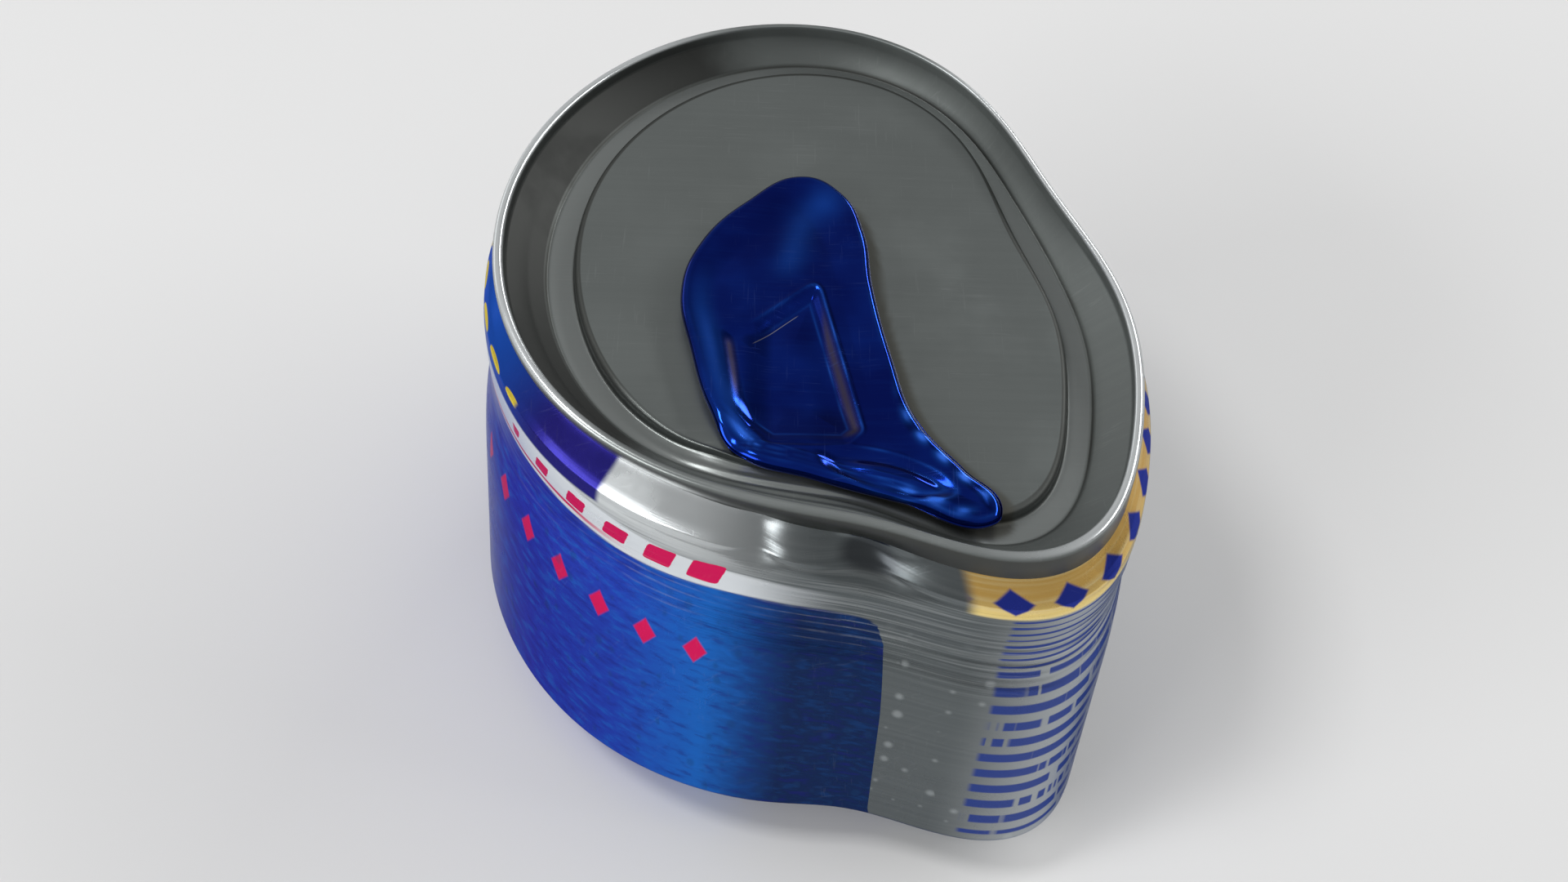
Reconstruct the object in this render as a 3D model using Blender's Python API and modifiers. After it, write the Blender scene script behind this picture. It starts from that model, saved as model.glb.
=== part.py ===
"""A crushed slim drink can: can_body, can_end and pull_tab, each one solid.

The body and the end are turned as made, with the wall already folded down to its
crushed height, and crushed() then moves every point of them. The tab is drawn as it lies.
Metres, +Z up. The origin ends up under the middle of the object's box, on the ground.
"""

import math

import bpy
from mathutils import Vector

MM = 0.001
STEPS = 84

# The double seam, whose ridge is the can's highest edge
SEAM_RADIUS = 25.1 * MM
SEAM_WIDTH = 1.15 * MM
SEAM_HEIGHT = 2.5 * MM
SHEET = 0.25 * MM
LIP_SHEET = 0.25 * MM
RIDGE_HEIGHT = 30.7 * MM

# The end's rings, measured from the ridge down and from the seam inwards
PANEL_RADIUS = 18.25 * MM
PANEL_DEPTH = 2.2 * MM
PANEL_EDGE = 0.5 * MM
SINK_WIDTH = 2.45 * MM
SINK_BEND = 0.3 * MM
SINK_DEPTH = 3.3 * MM
# How far under the ridge the wall keeps the outline that the rim was bent to
RIM_REACH = 4.85 * MM

# The body below the seam
SHOULDER_RADIUS = 26.4 * MM
SHOULDER_DROP = 5.2 * MM
NECK_FLARE = 0.5 * MM
WALL_RADIUS = 26.5 * MM
WAIST_DROP = 9.3 * MM
WAIST_HALF_HEIGHT = 2.8 * MM
WAIST_DEPTH = 0.45 * MM
FOLD_PITCH = 1.9 * MM
FOLD_DEPTH = 0.16 * MM
FOLD_WANDER = 0.5 * MM
FOLD_ROOM = 0.8 * MM
FOLD_RINGS = 14
FOOT_HEIGHT = 4.7 * MM
FOOT_BEND = 0.5 * MM
STAND_RADIUS = 22.6 * MM
STAND_WIDTH = 2.0 * MM
STAND_ROUND = 0.5 * MM
DOME_HEIGHT = 7.5 * MM

# Room between pieces that touch: at a face, and at each side of the lip in the seam
SEAT_GAP = 0.3 * MM
LIP_GAP = 0.15 * MM

# The crush: an even swell outwards and presses inwards. Each press has its bearing from +X
# and its half width, in degrees, and its depth at the rim and at the foot
SWELL = 3.0 * MM
PRESSES = {
    "right_side": (24, 45, 7.9 * MM, 7.0 * MM),
    "front": (270, 53, 5.3 * MM, 5.7 * MM),
    "left_side": (189, 68, 3.2 * MM, 3.0 * MM),
    "rim_corner": (301, 24, -5.2 * MM, 0.5 * MM),
    "foot_corner": (305, 17, -0.6 * MM, -5.6 * MM),
    "foot_front": (284, 15, 1.3 * MM, 0.6 * MM),
    "foot_left": (208, 47, 0.4 * MM, 2.2 * MM),
}
# How far the end's rings are pushed together: bearing, half width and depth
SQUEEZES = {
    "far_side": (65, 74, 3.4 * MM),
    "near_side": (251, 48, 2.2 * MM),
}
FOOT_LEAN = Vector((-2.5, -8.2)) * MM
LID_SLOPE = Vector((-0.044, 0.070))
# Dents in the neck: bearing, half width and depth
PINCHES = {
    "wide": (278, 7, 0.7 * MM),
    "narrow": (258, 4, 0.35 * MM),
}
PINCH_DROP = 5.0 * MM
PINCH_HALF_HEIGHT = 1.3 * MM

# The tab, in the plane of the panel, measured from the middle of the seam
TAB_OUTLINE = [
    (-1.3, 9.4), (1.8, 7.6), (3.3, 3.8), (3.8, -1.5), (5.0, -8.0), (6.6, -13.4),
    (9.6, -17.3), (12.0, -20.2), (11.4, -21.6), (5.0, -20.1), (-1.0, -18.4),
    (-6.0, -16.6), (-8.0, -13.0), (-9.5, -7.8), (-10.4, -2.4), (-9.3, 1.9), (-5.8, 6.5),
]
TAB_THICKNESS = 1.1 * MM
TAB_EDGE = 0.45 * MM
TAB_LIFT = 0.02
RECESS_CORNERS = [
    (-7.2, -5.8), (-5.0, -5.2), (-0.2, -1.2), (2.4, -14.4), (1.2, -15.6), (-4.9, -15.2),
]
RECESS_CORNER_RADIUS = 0.8
RECESS_DEPTH = 0.5 * MM
RECESS_EDGE = 0.4 * MM
RIVET_PLACE = Vector((4.2, -18.1)) * MM
RIVET_TURN = -17
RIVET_HALF_LENGTH = 3.6 * MM
RIVET_HALF_WIDTH = 0.8 * MM
RIVET_HEIGHT = 0.5 * MM
GROOVE_WIDTH = 0.6 * MM
GROOVE_DEPTH = 0.35 * MM
GROOVE_ROOM = 0.5 * MM

LEVEL = RIDGE_HEIGHT - PANEL_DEPTH


def clear_scene():
    for thing in list(bpy.data.objects):
        bpy.data.objects.remove(thing)


def collection_named(name):
    made = bpy.data.collections.new(name)
    bpy.context.scene.collection.children.link(made)
    return made


def material(name, colour, metallic, roughness):
    made = bpy.data.materials.new(name)
    made.use_nodes = True
    shader = made.node_tree.nodes["Principled BSDF"]
    shader.inputs["Base Color"].default_value = (*colour, 1.0)
    shader.inputs["Metallic"].default_value = metallic
    shader.inputs["Roughness"].default_value = roughness
    return made


def bump(value, middle, half_width):
    """1 at the middle and falling away on both sides of it."""
    return math.exp(-(((value - middle) / half_width) ** 2))


def bearing_bump(bearing, middle, half_width):
    away = (bearing - middle + 180) % 360 - 180
    return bump(away, 0, half_width)


def press_depth(bearing, rise):
    """How far the outline is pushed in at this bearing, from the foot (rise 0) to the rim (1)."""
    depth = -SWELL
    for middle, half_width, at_rim, at_foot in PRESSES.values():
        here = at_foot + (at_rim - at_foot) * rise
        depth += here * bearing_bump(bearing, middle, half_width)
    return depth


def squeeze_depth(bearing):
    total = 0.0
    for middle, half_width, depth in SQUEEZES.values():
        total += depth * bearing_bump(bearing, middle, half_width)
    return total


def wall_dent(bearing, height):
    """How far the pinches, the waist and the fine folds push in the wall below the seam."""
    drop = RIDGE_HEIGHT - height
    depth = 0.0
    for middle, half_width, pinch in PINCHES.values():
        depth += pinch * bearing_bump(bearing, middle, half_width)
    depth *= bump(drop, PINCH_DROP, PINCH_HALF_HEIGHT)
    turn = math.radians(bearing)
    wander = FOLD_WANDER * (math.sin(3 * turn) + math.sin(5 * turn + 1))
    fold = FOLD_DEPTH * math.cos(math.tau * (drop + wander) / FOLD_PITCH)
    return depth + (WAIST_DEPTH + fold) * bump(drop, WAIST_DROP, WAIST_HALF_HEIGHT)


def lid_rise(place):
    """How far the tilted end stands above its own middle at this place."""
    return LID_SLOPE.dot(place)


def crushed(point):
    """Where a point of the can as made lies once the can is crushed."""
    radius = math.hypot(point.x, point.y)
    bearing = math.degrees(math.atan2(point.y, point.x))
    under_rim = RIDGE_HEIGHT - RIM_REACH
    rise = (point.z - FOOT_HEIGHT) / (under_rim - FOOT_HEIGHT)
    rise = min(max(rise, 0.0), 1.0)

    share = min(radius / PANEL_RADIUS, 1.0)
    ridge_radius = SEAM_RADIUS - SEAM_WIDTH / 2
    ring = (ridge_radius - radius) / (ridge_radius - PANEL_RADIUS)
    ring = min(max(ring, 0.0), 1.0) * share
    moved = radius - press_depth(bearing, rise) * share
    moved += squeeze_depth(bearing) * ring * rise

    outside = (radius - SEAM_RADIUS + SEAM_WIDTH) / SEAM_WIDTH
    moved -= wall_dent(bearing, point.z) * min(max(outside, 0.0), 1.0)

    angle = math.radians(bearing)
    place = Vector((math.cos(angle), math.sin(angle))) * moved
    height = point.z + lid_rise(place) * rise
    place += FOOT_LEAN * (1 - rise)
    return Vector((place.x, place.y, height))


def arc(middle_x, middle_z, radius, start, end, steps):
    """Points of an arc in the profile's plane, with 0 degrees at +X and 90 at +Z."""
    points = []
    for step in range(steps + 1):
        angle = math.radians(start + (end - start) * step / steps)
        points.append((middle_x + radius * math.cos(angle), middle_z + radius * math.sin(angle)))
    return points


def turned(name, profile, shell=0.0):
    """The profile turned about Z, thickened into a shell where asked, and crushed."""
    mesh = bpy.data.meshes.new(name + "_profile")
    edges = [(index, index + 1) for index in range(len(profile) - 1)]
    mesh.from_pydata([(x, 0, z) for x, z in profile], edges, [])
    maker = bpy.data.objects.new(name + "_profile", mesh)
    bpy.context.scene.collection.objects.link(maker)

    screw = maker.modifiers.new("Turn", "SCREW")
    screw.steps = STEPS
    screw.render_steps = STEPS
    screw.use_merge_vertices = True
    screw.merge_threshold = 0.00001
    if shell:
        solidify = maker.modifiers.new("Sheet", "SOLIDIFY")
        solidify.thickness = shell
        solidify.offset = -1

    graph = bpy.context.evaluated_depsgraph_get()
    made = bpy.data.meshes.new_from_object(maker.evaluated_get(graph))
    made.name = name
    for vertex in made.vertices:
        vertex.co = crushed(vertex.co)
    bpy.data.objects.remove(maker)
    return bpy.data.objects.new(name, made)


def finished(piece, group, finish, sharp_from=35):
    """Puts a piece in its collection, with its material and smooth shading."""
    group.objects.link(piece)
    piece.data.materials.clear()
    piece.data.materials.append(finish)
    piece.data.shade_smooth()
    piece.data.set_sharp_from_angle(angle=math.radians(sharp_from))


def rounded(corners, radius, steps=4):
    """A closed outline with its corners rounded."""
    points = []
    for index, corner in enumerate(corners):
        here = Vector(corner)
        before = (Vector(corners[index - 1]) - here).normalized()
        after = (Vector(corners[(index + 1) % len(corners)]) - here).normalized()
        half = before.angle(after) / 2
        start = here + before * radius / math.tan(half)
        end = here + after * radius / math.tan(half)
        for step in range(steps + 1):
            share = step / steps
            points.append(start * (1 - share) ** 2 + here * 2 * share * (1 - share) + end * share**2)
    return points


def plate(name, outline, thickness, edge, resolution=3):
    """A flat plate with a rounded edge, its top at z 0, from an outline in millimetres."""
    handle = "AUTO" if resolution > 1 else "VECTOR"
    curve = bpy.data.curves.new(name, "CURVE")
    curve.dimensions = "2D"
    curve.fill_mode = "BOTH"
    curve.resolution_u = resolution
    curve.extrude = thickness / 2 - edge
    curve.bevel_depth = edge
    curve.bevel_resolution = 2
    curve.offset = -edge
    spline = curve.splines.new("BEZIER")
    spline.bezier_points.add(len(outline) - 1)
    for corner, (x, y) in zip(spline.bezier_points, outline):
        corner.co = (x * MM, y * MM, 0)
        corner.handle_left_type = handle
        corner.handle_right_type = handle
    spline.use_cyclic_u = True
    maker = bpy.data.objects.new(name, curve)
    bpy.context.scene.collection.objects.link(maker)
    weld = maker.modifiers.new("Weld", "WELD")
    weld.merge_threshold = 0.00001
    graph = bpy.context.evaluated_depsgraph_get()
    made = bpy.data.meshes.new_from_object(maker.evaluated_get(graph))
    bpy.data.objects.remove(maker)
    for vertex in made.vertices:
        vertex.co.z -= thickness / 2
    return bpy.data.objects.new(name, made)


def oval(name, half_length, half_width, low, high):
    """An upright oval pin at the rivet's place, from low to high."""
    bpy.ops.mesh.primitive_cylinder_add(vertices=32, radius=1, depth=1)
    pin = bpy.context.object
    pin.name = name
    for vertex in pin.data.vertices:
        vertex.co.x *= half_length
        vertex.co.y *= half_width
        vertex.co.z = high if vertex.co.z > 0 else low
    pin.rotation_euler.z = math.radians(RIVET_TURN)
    pin.location = (RIVET_PLACE.x, RIVET_PLACE.y, 0)
    return pin


def oval_groove(name):
    """A ring with a round section, set round the rivet's place."""
    bpy.ops.mesh.primitive_torus_add(
        major_radius=1, minor_radius=0.1, major_segments=40, minor_segments=12
    )
    ring = bpy.context.object
    ring.name = name
    along = RIVET_HALF_LENGTH + GROOVE_ROOM
    across = RIVET_HALF_WIDTH + GROOVE_ROOM
    for vertex in ring.data.vertices:
        angle = math.atan2(vertex.co.y, vertex.co.x)
        out = (math.hypot(vertex.co.x, vertex.co.y) - 1) * 10 * GROOVE_WIDTH
        vertex.co.x = math.cos(angle) * (along + out)
        vertex.co.y = math.sin(angle) * (across + out)
        vertex.co.z *= 10 * GROOVE_DEPTH
    ring.rotation_euler.z = math.radians(RIVET_TURN)
    ring.location = (RIVET_PLACE.x, RIVET_PLACE.y, 0)
    return ring


def lie_on_lid(piece, height, lift):
    """Lays a flat piece over the tilted panel, rising along +Y from the rivet by lift."""
    piece.data.transform(piece.matrix_basis)
    piece.matrix_basis.identity()
    for vertex in piece.data.vertices:
        away = vertex.co.y - RIVET_PLACE.y
        vertex.co.z += height + lid_rise(vertex.co.xy) + lift * away


def apply_boolean(piece, cutter, operation):
    joint = piece.modifiers.new(cutter.name, "BOOLEAN")
    joint.operation = operation
    joint.solver = "EXACT"
    joint.object = cutter


def hide_in(group, helper):
    for holder in list(helper.users_collection):
        holder.objects.unlink(helper)
    group.objects.link(helper)
    helper.hide_render = True
    helper.display_type = "WIRE"


def end_profile():
    """The end's upper side, from the axis out over the rings and down the seam's outside."""
    top = RIDGE_HEIGHT
    inner = SEAM_RADIUS - SEAM_WIDTH
    panel_top = top - PANEL_DEPTH
    sink = top - SINK_DEPTH
    wall_foot = PANEL_RADIUS + PANEL_EDGE + SINK_WIDTH
    ridge = SEAM_WIDTH / 2
    points = [(0, panel_top), (PANEL_RADIUS * 0.5, panel_top), (PANEL_RADIUS * 0.85, panel_top)]
    points += arc(PANEL_RADIUS, panel_top - PANEL_EDGE, PANEL_EDGE, 90, 0, 2)
    points += arc(PANEL_RADIUS + PANEL_EDGE + SINK_BEND, sink + SINK_BEND, SINK_BEND, 180, 270, 3)
    points += arc(wall_foot - SINK_BEND, sink + SINK_BEND, SINK_BEND, 270, 318, 3)
    points += [(inner, top - SINK_DEPTH * 0.32)]
    points += arc(SEAM_RADIUS - ridge, top - ridge, ridge, 180, 0, 6)
    points += [(SEAM_RADIUS, top - SEAM_HEIGHT)]
    return points


def body_profile():
    """The body's outside, from the fill under the end over the lip and down to the dome."""
    top = RIDGE_HEIGHT
    floor = top - SINK_DEPTH - SHEET - SEAT_GAP
    lip_out = SEAM_RADIUS - SHEET - LIP_GAP
    lip_in = lip_out - LIP_SHEET
    lip_top = top - SEAM_WIDTH / 2 - SHEET
    neck = top - SEAM_HEIGHT - SEAT_GAP
    shoulder = top - SHOULDER_DROP
    points = [(0, floor), (PANEL_RADIUS, floor)]
    points += [(PANEL_RADIUS + PANEL_EDGE + SINK_WIDTH, floor)]
    points += [(lip_in, top - SEAM_HEIGHT), (lip_in, lip_top), (lip_out, lip_top)]
    points += [(lip_out, neck), (SHOULDER_RADIUS - NECK_FLARE, (neck + shoulder) / 2)]
    points += [(SHOULDER_RADIUS - NECK_FLARE / 5, shoulder + NECK_FLARE * 1.4)]
    points += [(SHOULDER_RADIUS, shoulder)]
    folds_start = shoulder - FOLD_ROOM
    folds_end = top - WAIST_DROP - 2 * WAIST_HALF_HEIGHT
    for ring in range(FOLD_RINGS + 1):
        share = ring / FOLD_RINGS
        radius = SHOULDER_RADIUS + (WALL_RADIUS - SHOULDER_RADIUS) * share
        points.append((radius, folds_start + (folds_end - folds_start) * share))
    points += [(WALL_RADIUS, (folds_end + FOOT_HEIGHT) / 2)]
    points += arc(WALL_RADIUS - FOOT_BEND, FOOT_HEIGHT, FOOT_BEND, 0, -45, 2)
    points += [(STAND_RADIUS + STAND_ROUND, STAND_ROUND * 0.4), (STAND_RADIUS, 0)]
    inside = STAND_RADIUS - STAND_WIDTH
    points += [(inside, 0), (inside - STAND_ROUND * 1.2, STAND_ROUND * 1.8)]
    points += [(inside * 0.75, DOME_HEIGHT * 0.52), (inside * 0.4, DOME_HEIGHT * 0.88)]
    points += [(0, DOME_HEIGHT)]
    return points


def make_body(group):
    body = turned("can_body", body_profile())
    finished(body, group, material("printed_can_wall", (0.02, 0.06, 0.42), 0.6, 0.3))
    return body


def make_end(group, helpers):
    end = turned("can_end", end_profile(), shell=SHEET)
    finished(end, group, material("end_aluminium", (0.30, 0.32, 0.32), 1.0, 0.35))
    rivet = oval("end_rivet", RIVET_HALF_LENGTH, RIVET_HALF_WIDTH, -SHEET / 2, RIVET_HEIGHT)
    hide_in(helpers, rivet)
    lie_on_lid(rivet, LEVEL, 0.0)
    apply_boolean(end, rivet, "UNION")
    return end


def make_tab(group, helpers):
    seat = LEVEL + SEAT_GAP
    top = seat + TAB_THICKNESS
    tab = plate("pull_tab", TAB_OUTLINE, TAB_THICKNESS, TAB_EDGE)
    finished(tab, group, material("tab_anodised_blue", (0.0, 0.012, 0.18), 1.0, 0.2))
    lie_on_lid(tab, top, TAB_LIFT)

    corners = rounded(RECESS_CORNERS, RECESS_CORNER_RADIUS)
    recess = plate("tab_recess", corners, 2 * TAB_THICKNESS, RECESS_EDGE, resolution=1)
    hide_in(helpers, recess)
    lie_on_lid(recess, top - RECESS_DEPTH + 2 * TAB_THICKNESS, TAB_LIFT)
    apply_boolean(tab, recess, "DIFFERENCE")

    groove = oval_groove("tab_groove")
    hide_in(helpers, groove)
    lie_on_lid(groove, top, TAB_LIFT)
    apply_boolean(tab, groove, "DIFFERENCE")

    room = oval(
        "rivet_room",
        RIVET_HALF_LENGTH + SEAT_GAP,
        RIVET_HALF_WIDTH + SEAT_GAP,
        -TAB_THICKNESS,
        RIVET_HEIGHT,
    )
    hide_in(helpers, room)
    lie_on_lid(room, seat, TAB_LIFT)
    apply_boolean(tab, room, "DIFFERENCE")
    return tab


def stand_on_origin(pieces):
    """Moves everything so that the box's middle is over the origin and its bottom on the ground."""
    corners = [vertex.co for piece in pieces for vertex in piece.data.vertices]
    lowest = Vector((min(c.x for c in corners), min(c.y for c in corners), min(c.z for c in corners)))
    highest = Vector((max(c.x for c in corners), max(c.y for c in corners), 0))
    offset = Vector(((lowest.x + highest.x) / 2, (lowest.y + highest.y) / 2, lowest.z))
    for thing in bpy.data.objects:
        if thing.type == "MESH":
            for vertex in thing.data.vertices:
                vertex.co -= offset


def build():
    clear_scene()
    group = collection_named("crushed_drink_can")
    helpers = collection_named("cutters")
    body = make_body(group)
    end = make_end(group, helpers)
    tab = make_tab(group, helpers)
    stand_on_origin([body, end, tab])


build()
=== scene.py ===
import math

import bpy
import numpy as np
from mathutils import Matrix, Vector, noise
from mathutils.kdtree import KDTree


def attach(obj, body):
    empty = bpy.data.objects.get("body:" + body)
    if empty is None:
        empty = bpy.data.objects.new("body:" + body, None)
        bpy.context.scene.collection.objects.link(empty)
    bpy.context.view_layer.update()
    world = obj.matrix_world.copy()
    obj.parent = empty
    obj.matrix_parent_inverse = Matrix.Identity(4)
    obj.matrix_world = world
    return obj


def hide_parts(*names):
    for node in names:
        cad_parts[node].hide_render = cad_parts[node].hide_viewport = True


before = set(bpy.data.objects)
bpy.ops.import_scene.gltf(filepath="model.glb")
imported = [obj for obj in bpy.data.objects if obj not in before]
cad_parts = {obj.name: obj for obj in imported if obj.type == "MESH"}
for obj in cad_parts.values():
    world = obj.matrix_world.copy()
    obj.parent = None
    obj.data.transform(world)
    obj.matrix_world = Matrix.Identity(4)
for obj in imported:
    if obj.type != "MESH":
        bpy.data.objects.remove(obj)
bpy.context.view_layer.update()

MM = 0.001


# The can body: one aluminium sheet, drawn and ironed to a cup with a domed base.
# Its outside is printed and lacquered, and the whole cup is crushed to about a quarter
# of its height, with the wall bunched into fine folds under the shoulder.

RIM_HEIGHT = 30.7 * MM
SEAM_RADIUS = 25.1 * MM
SEAM_WIDTH = 1.15 * MM
SEAM_HEIGHT = 2.5 * MM
SHEET = 0.25 * MM
LIP_GAP = 0.15 * MM
SEAT_GAP = 0.3 * MM
PANEL_RADIUS = 18.25 * MM
PANEL_EDGE = 0.5 * MM
SINK_WIDTH = 2.45 * MM
SINK_DEPTH = 3.3 * MM
RIM_REACH = 4.85 * MM
SHOULDER_RADIUS = 26.4 * MM
SHOULDER_DROP = 5.2 * MM
WALL_RADIUS = 26.5 * MM
FOOT_HEIGHT = 4.7 * MM
FOOT_BEND = 0.5 * MM
STAND_RADIUS = 22.6 * MM
STAND_WIDTH = 2.0 * MM
DOME_HEIGHT = 7.5 * MM
TURN_STEPS = 480
SEAM_OF_PRINT = 90

# Bearing and half width in degrees, then the depth pressed in at the rim and at the foot
PRESSES = {
    "right side": (24, 45, 7.9 * MM, 7.0 * MM),
    "front": (270, 53, 5.3 * MM, 5.7 * MM),
    "left side": (189, 68, 3.2 * MM, 3.0 * MM),
    "rim corner": (301, 24, -5.2 * MM, 0.5 * MM),
    "foot corner": (305, 17, -0.6 * MM, -5.6 * MM),
    "foot front": (284, 15, 1.3 * MM, 0.6 * MM),
    "foot left": (208, 47, 0.4 * MM, 2.2 * MM),
}
SQUEEZES = {
    "far side": (65, 74, 3.4 * MM),
    "near side": (251, 48, 2.2 * MM),
}
PINCHES = {
    "wide": (277.5, 6.5, 1.3 * MM),
    "narrow": (258, 4, 0.7 * MM),
}
# Bearing and half width of the side where the wall is bunched most
BUNCHED = (322.0, 32.0)
# Where the rings' outer corner was pushed out with the rim
RING_PUSHES = {
    "far side": (85, 48, 0.75 * MM),
    "right side": (21, 20, 0.6 * MM),
}
LID_SLOPE = Vector((-0.044, 0.070))
# Where the rim's middle lies in the finished object's frame
RIM_PLACE = Vector((1.6635 * MM, 2.7812 * MM, 0.0))


def wired(tree, kind, *values, **settings):
    """A node with its settings made, and its inputs in order set or wired; None skips one."""
    made = tree.nodes.new(kind)
    for name, value in settings.items():
        setattr(made, name, value)
    for socket, value in zip(made.inputs, values):
        if isinstance(value, bpy.types.NodeSocket):
            tree.links.new(value, socket)
        elif value is not None:
            socket.default_value = value
    return made


def maths(tree, operation, *values):
    return wired(tree, "ShaderNodeMath", *values, operation=operation).outputs[0]


def times(tree, first, second):
    return maths(tree, "MULTIPLY", first, second)


def plus(tree, first, second):
    return maths(tree, "ADD", first, second)


def minus(tree, first, second):
    return maths(tree, "SUBTRACT", first, second)


def divide(tree, first, second):
    return maths(tree, "DIVIDE", first, second)


def times_plus(tree, first, second, third):
    return maths(tree, "MULTIPLY_ADD", first, second, third)


def ramp(tree, value, low, high, to_low=0.0, to_high=1.0):
    """The value carried evenly from one range to another, and held at its ends."""
    return wired(tree, "ShaderNodeMapRange", value, low, high, to_low, to_high).outputs[0]


def vector(tree, x, y, z):
    return wired(tree, "ShaderNodeCombineXYZ", x, y, z).outputs[0]


def around(tree, turn, radius, height):
    """The place at this turn about Z, in radians, and this far out and up."""
    x = times(tree, maths(tree, "COSINE", turn), radius)
    y = times(tree, maths(tree, "SINE", turn), radius)
    return vector(tree, x, y, height)


def clouds(tree, place, scale, detail, roughness):
    return wired(tree, "ShaderNodeTexNoise", place, None, scale, detail, roughness, 2.0).outputs[0]


def node_group(name, kind, inputs, outputs):
    """A node group with named sockets, and the sockets of its two ends."""
    tree = bpy.data.node_groups.new(name, kind)
    for label, socket_kind, value in inputs:
        socket = tree.interface.new_socket(name=label, in_out="INPUT", socket_type="NodeSocket" + socket_kind)
        if value is not None:
            socket.default_value = value
    for label, socket_kind in outputs:
        tree.interface.new_socket(name=label, in_out="OUTPUT", socket_type="NodeSocket" + socket_kind)
    given = tree.nodes.new("NodeGroupInput")
    result = tree.nodes.new("NodeGroupOutput")
    return tree, given.outputs, result.inputs


def grouped(tree, group, **values):
    """A group placed in a tree, with its named inputs set or wired."""
    kind = "GeometryNodeGroup" if tree.bl_idname == "GeometryNodeTree" else "ShaderNodeGroup"
    made = tree.nodes.new(kind)
    made.node_tree = group
    for name, value in values.items():
        socket = made.inputs[name.replace("_", " ")]
        if isinstance(value, bpy.types.NodeSocket):
            tree.links.new(value, socket)
        else:
            socket.default_value = value
    return made.outputs


def make_bump_group():
    """1 at the middle and falling away on both sides of it, round the bearing."""
    tree, given, result = node_group(
        "Bearing Bump", "GeometryNodeTree",
        [("Bearing", "Float", 0.0), ("Middle", "Float", 0.0), ("Half Width", "Float", 10.0)],
        [("Bump", "Float")],
    )
    away = minus(tree, given["Bearing"], given["Middle"])
    away = maths(tree, "WRAP", away, 180.0, -180.0)
    share = divide(tree, away, given["Half Width"])
    square = times(tree, share, share)
    bump = maths(tree, "EXPONENT", times(tree, square, -1.0))
    tree.links.new(bump, result["Bump"])
    return tree


def make_height_bump_group():
    tree, given, result = node_group(
        "Height Bump", "GeometryNodeTree",
        [("Drop", "Float", 0.0), ("Middle", "Float", 0.0), ("Half Height", "Float", 0.001)],
        [("Bump", "Float")],
    )
    away = minus(tree, given["Drop"], given["Middle"])
    share = divide(tree, away, given["Half Height"])
    square = times(tree, share, share)
    bump = maths(tree, "EXPONENT", times(tree, square, -1.0))
    tree.links.new(bump, result["Bump"])
    return tree


bearing_bump = make_bump_group()
height_bump = make_height_bump_group()


def near_bearing(tree, bearing, middle, half_width):
    return grouped(tree, bearing_bump, Bearing=bearing, Middle=middle, Half_Width=half_width)[0]


def near_level(tree, drop, middle, half_height):
    return grouped(tree, height_bump, Drop=drop, Middle=middle, Half_Height=half_height)[0]


def make_folds_group():
    """How far the pinches, the waist, its folds and their fine ripples push the wall in."""
    tree, given, result = node_group(
        "Wall Folds", "GeometryNodeTree",
        [
            ("Bearing", "Float", 0.0),
            ("Drop", "Float", 0.0),
            ("Pinch Drop", "Float", 4.0 * MM),
            ("Pinch Half Height", "Float", 1.2 * MM),
            ("Waist Drop", "Float", 9.3 * MM),
            ("Waist Half Height", "Float", 2.8 * MM),
            ("Waist Depth", "Float", 0.45 * MM),
            ("Fold Pitch", "Float", 1.9 * MM),
            ("Fold Depth", "Float", 0.05 * MM),
            ("Fold Wander", "Float", 0.2 * MM),
            ("Ripple Pitch", "Float", 0.62 * MM),
            ("Ripple Depth", "Float", 0.035 * MM),
        ],
        [("Depth", "Float"), ("Crease", "Float")],
    )
    bearing, drop = given["Bearing"], given["Drop"]
    near = near_level(tree, drop, given["Pinch Drop"], given["Pinch Half Height"])
    bumps = {}
    pinch = 0.0
    for name, (middle, half_width, depth) in PINCHES.items():
        bumps[name] = near_bearing(tree, bearing, middle, half_width)
        pinch = times_plus(tree, bumps[name], depth, pinch)
    pinch = times(tree, pinch, near)
    pinched = divide(tree, times(tree, bumps["wide"], near), 0.5)

    turn = maths(tree, "RADIANS", bearing)
    slow = maths(tree, "SINE", times(tree, turn, 3.0))
    quick = maths(tree, "SINE", times_plus(tree, turn, 5.0, 1.0))
    wander = times(tree, plus(tree, slow, quick), given["Fold Wander"])
    moved = plus(tree, drop, wander)
    phase = divide(tree, times(tree, moved, math.tau), given["Fold Pitch"])
    fold = times(tree, maths(tree, "COSINE", phase), given["Fold Depth"])

    # Ripples fade in and out along the wall, so their lines start and stop
    angle = vector(tree, maths(tree, "COSINE", turn), maths(tree, "SINE", turn), times(tree, drop, 260.0))
    patches = clouds(tree, angle, 2.2, 2.0, 0.5)
    bend = times(tree, minus(tree, patches, 0.5), 0.7 * MM)
    phase = times(tree, plus(tree, moved, bend), math.tau)
    phase = divide(tree, phase, given["Ripple Pitch"])
    ripple = times(tree, maths(tree, "COSINE", phase), given["Ripple Depth"])
    right = near_bearing(tree, bearing, *BUNCHED)
    strength = times_plus(tree, right, 0.85, 0.15)
    ripple = times(tree, ripple, strength)
    fold = times(tree, fold, strength)

    zone = near_level(tree, drop, given["Waist Drop"], given["Waist Half Height"])
    depth = plus(tree, given["Waist Depth"], plus(tree, fold, ripple))
    depth = times(tree, depth, zone)
    tree.links.new(plus(tree, pinch, depth), result["Depth"])
    # The crease is raised by the wide pinch, where the print paints shade
    crease = times_plus(tree, maths(tree, "COSINE", phase), zone, pinched)
    tree.links.new(crease, result["Crease"])
    return tree


wall_folds = make_folds_group()


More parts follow.
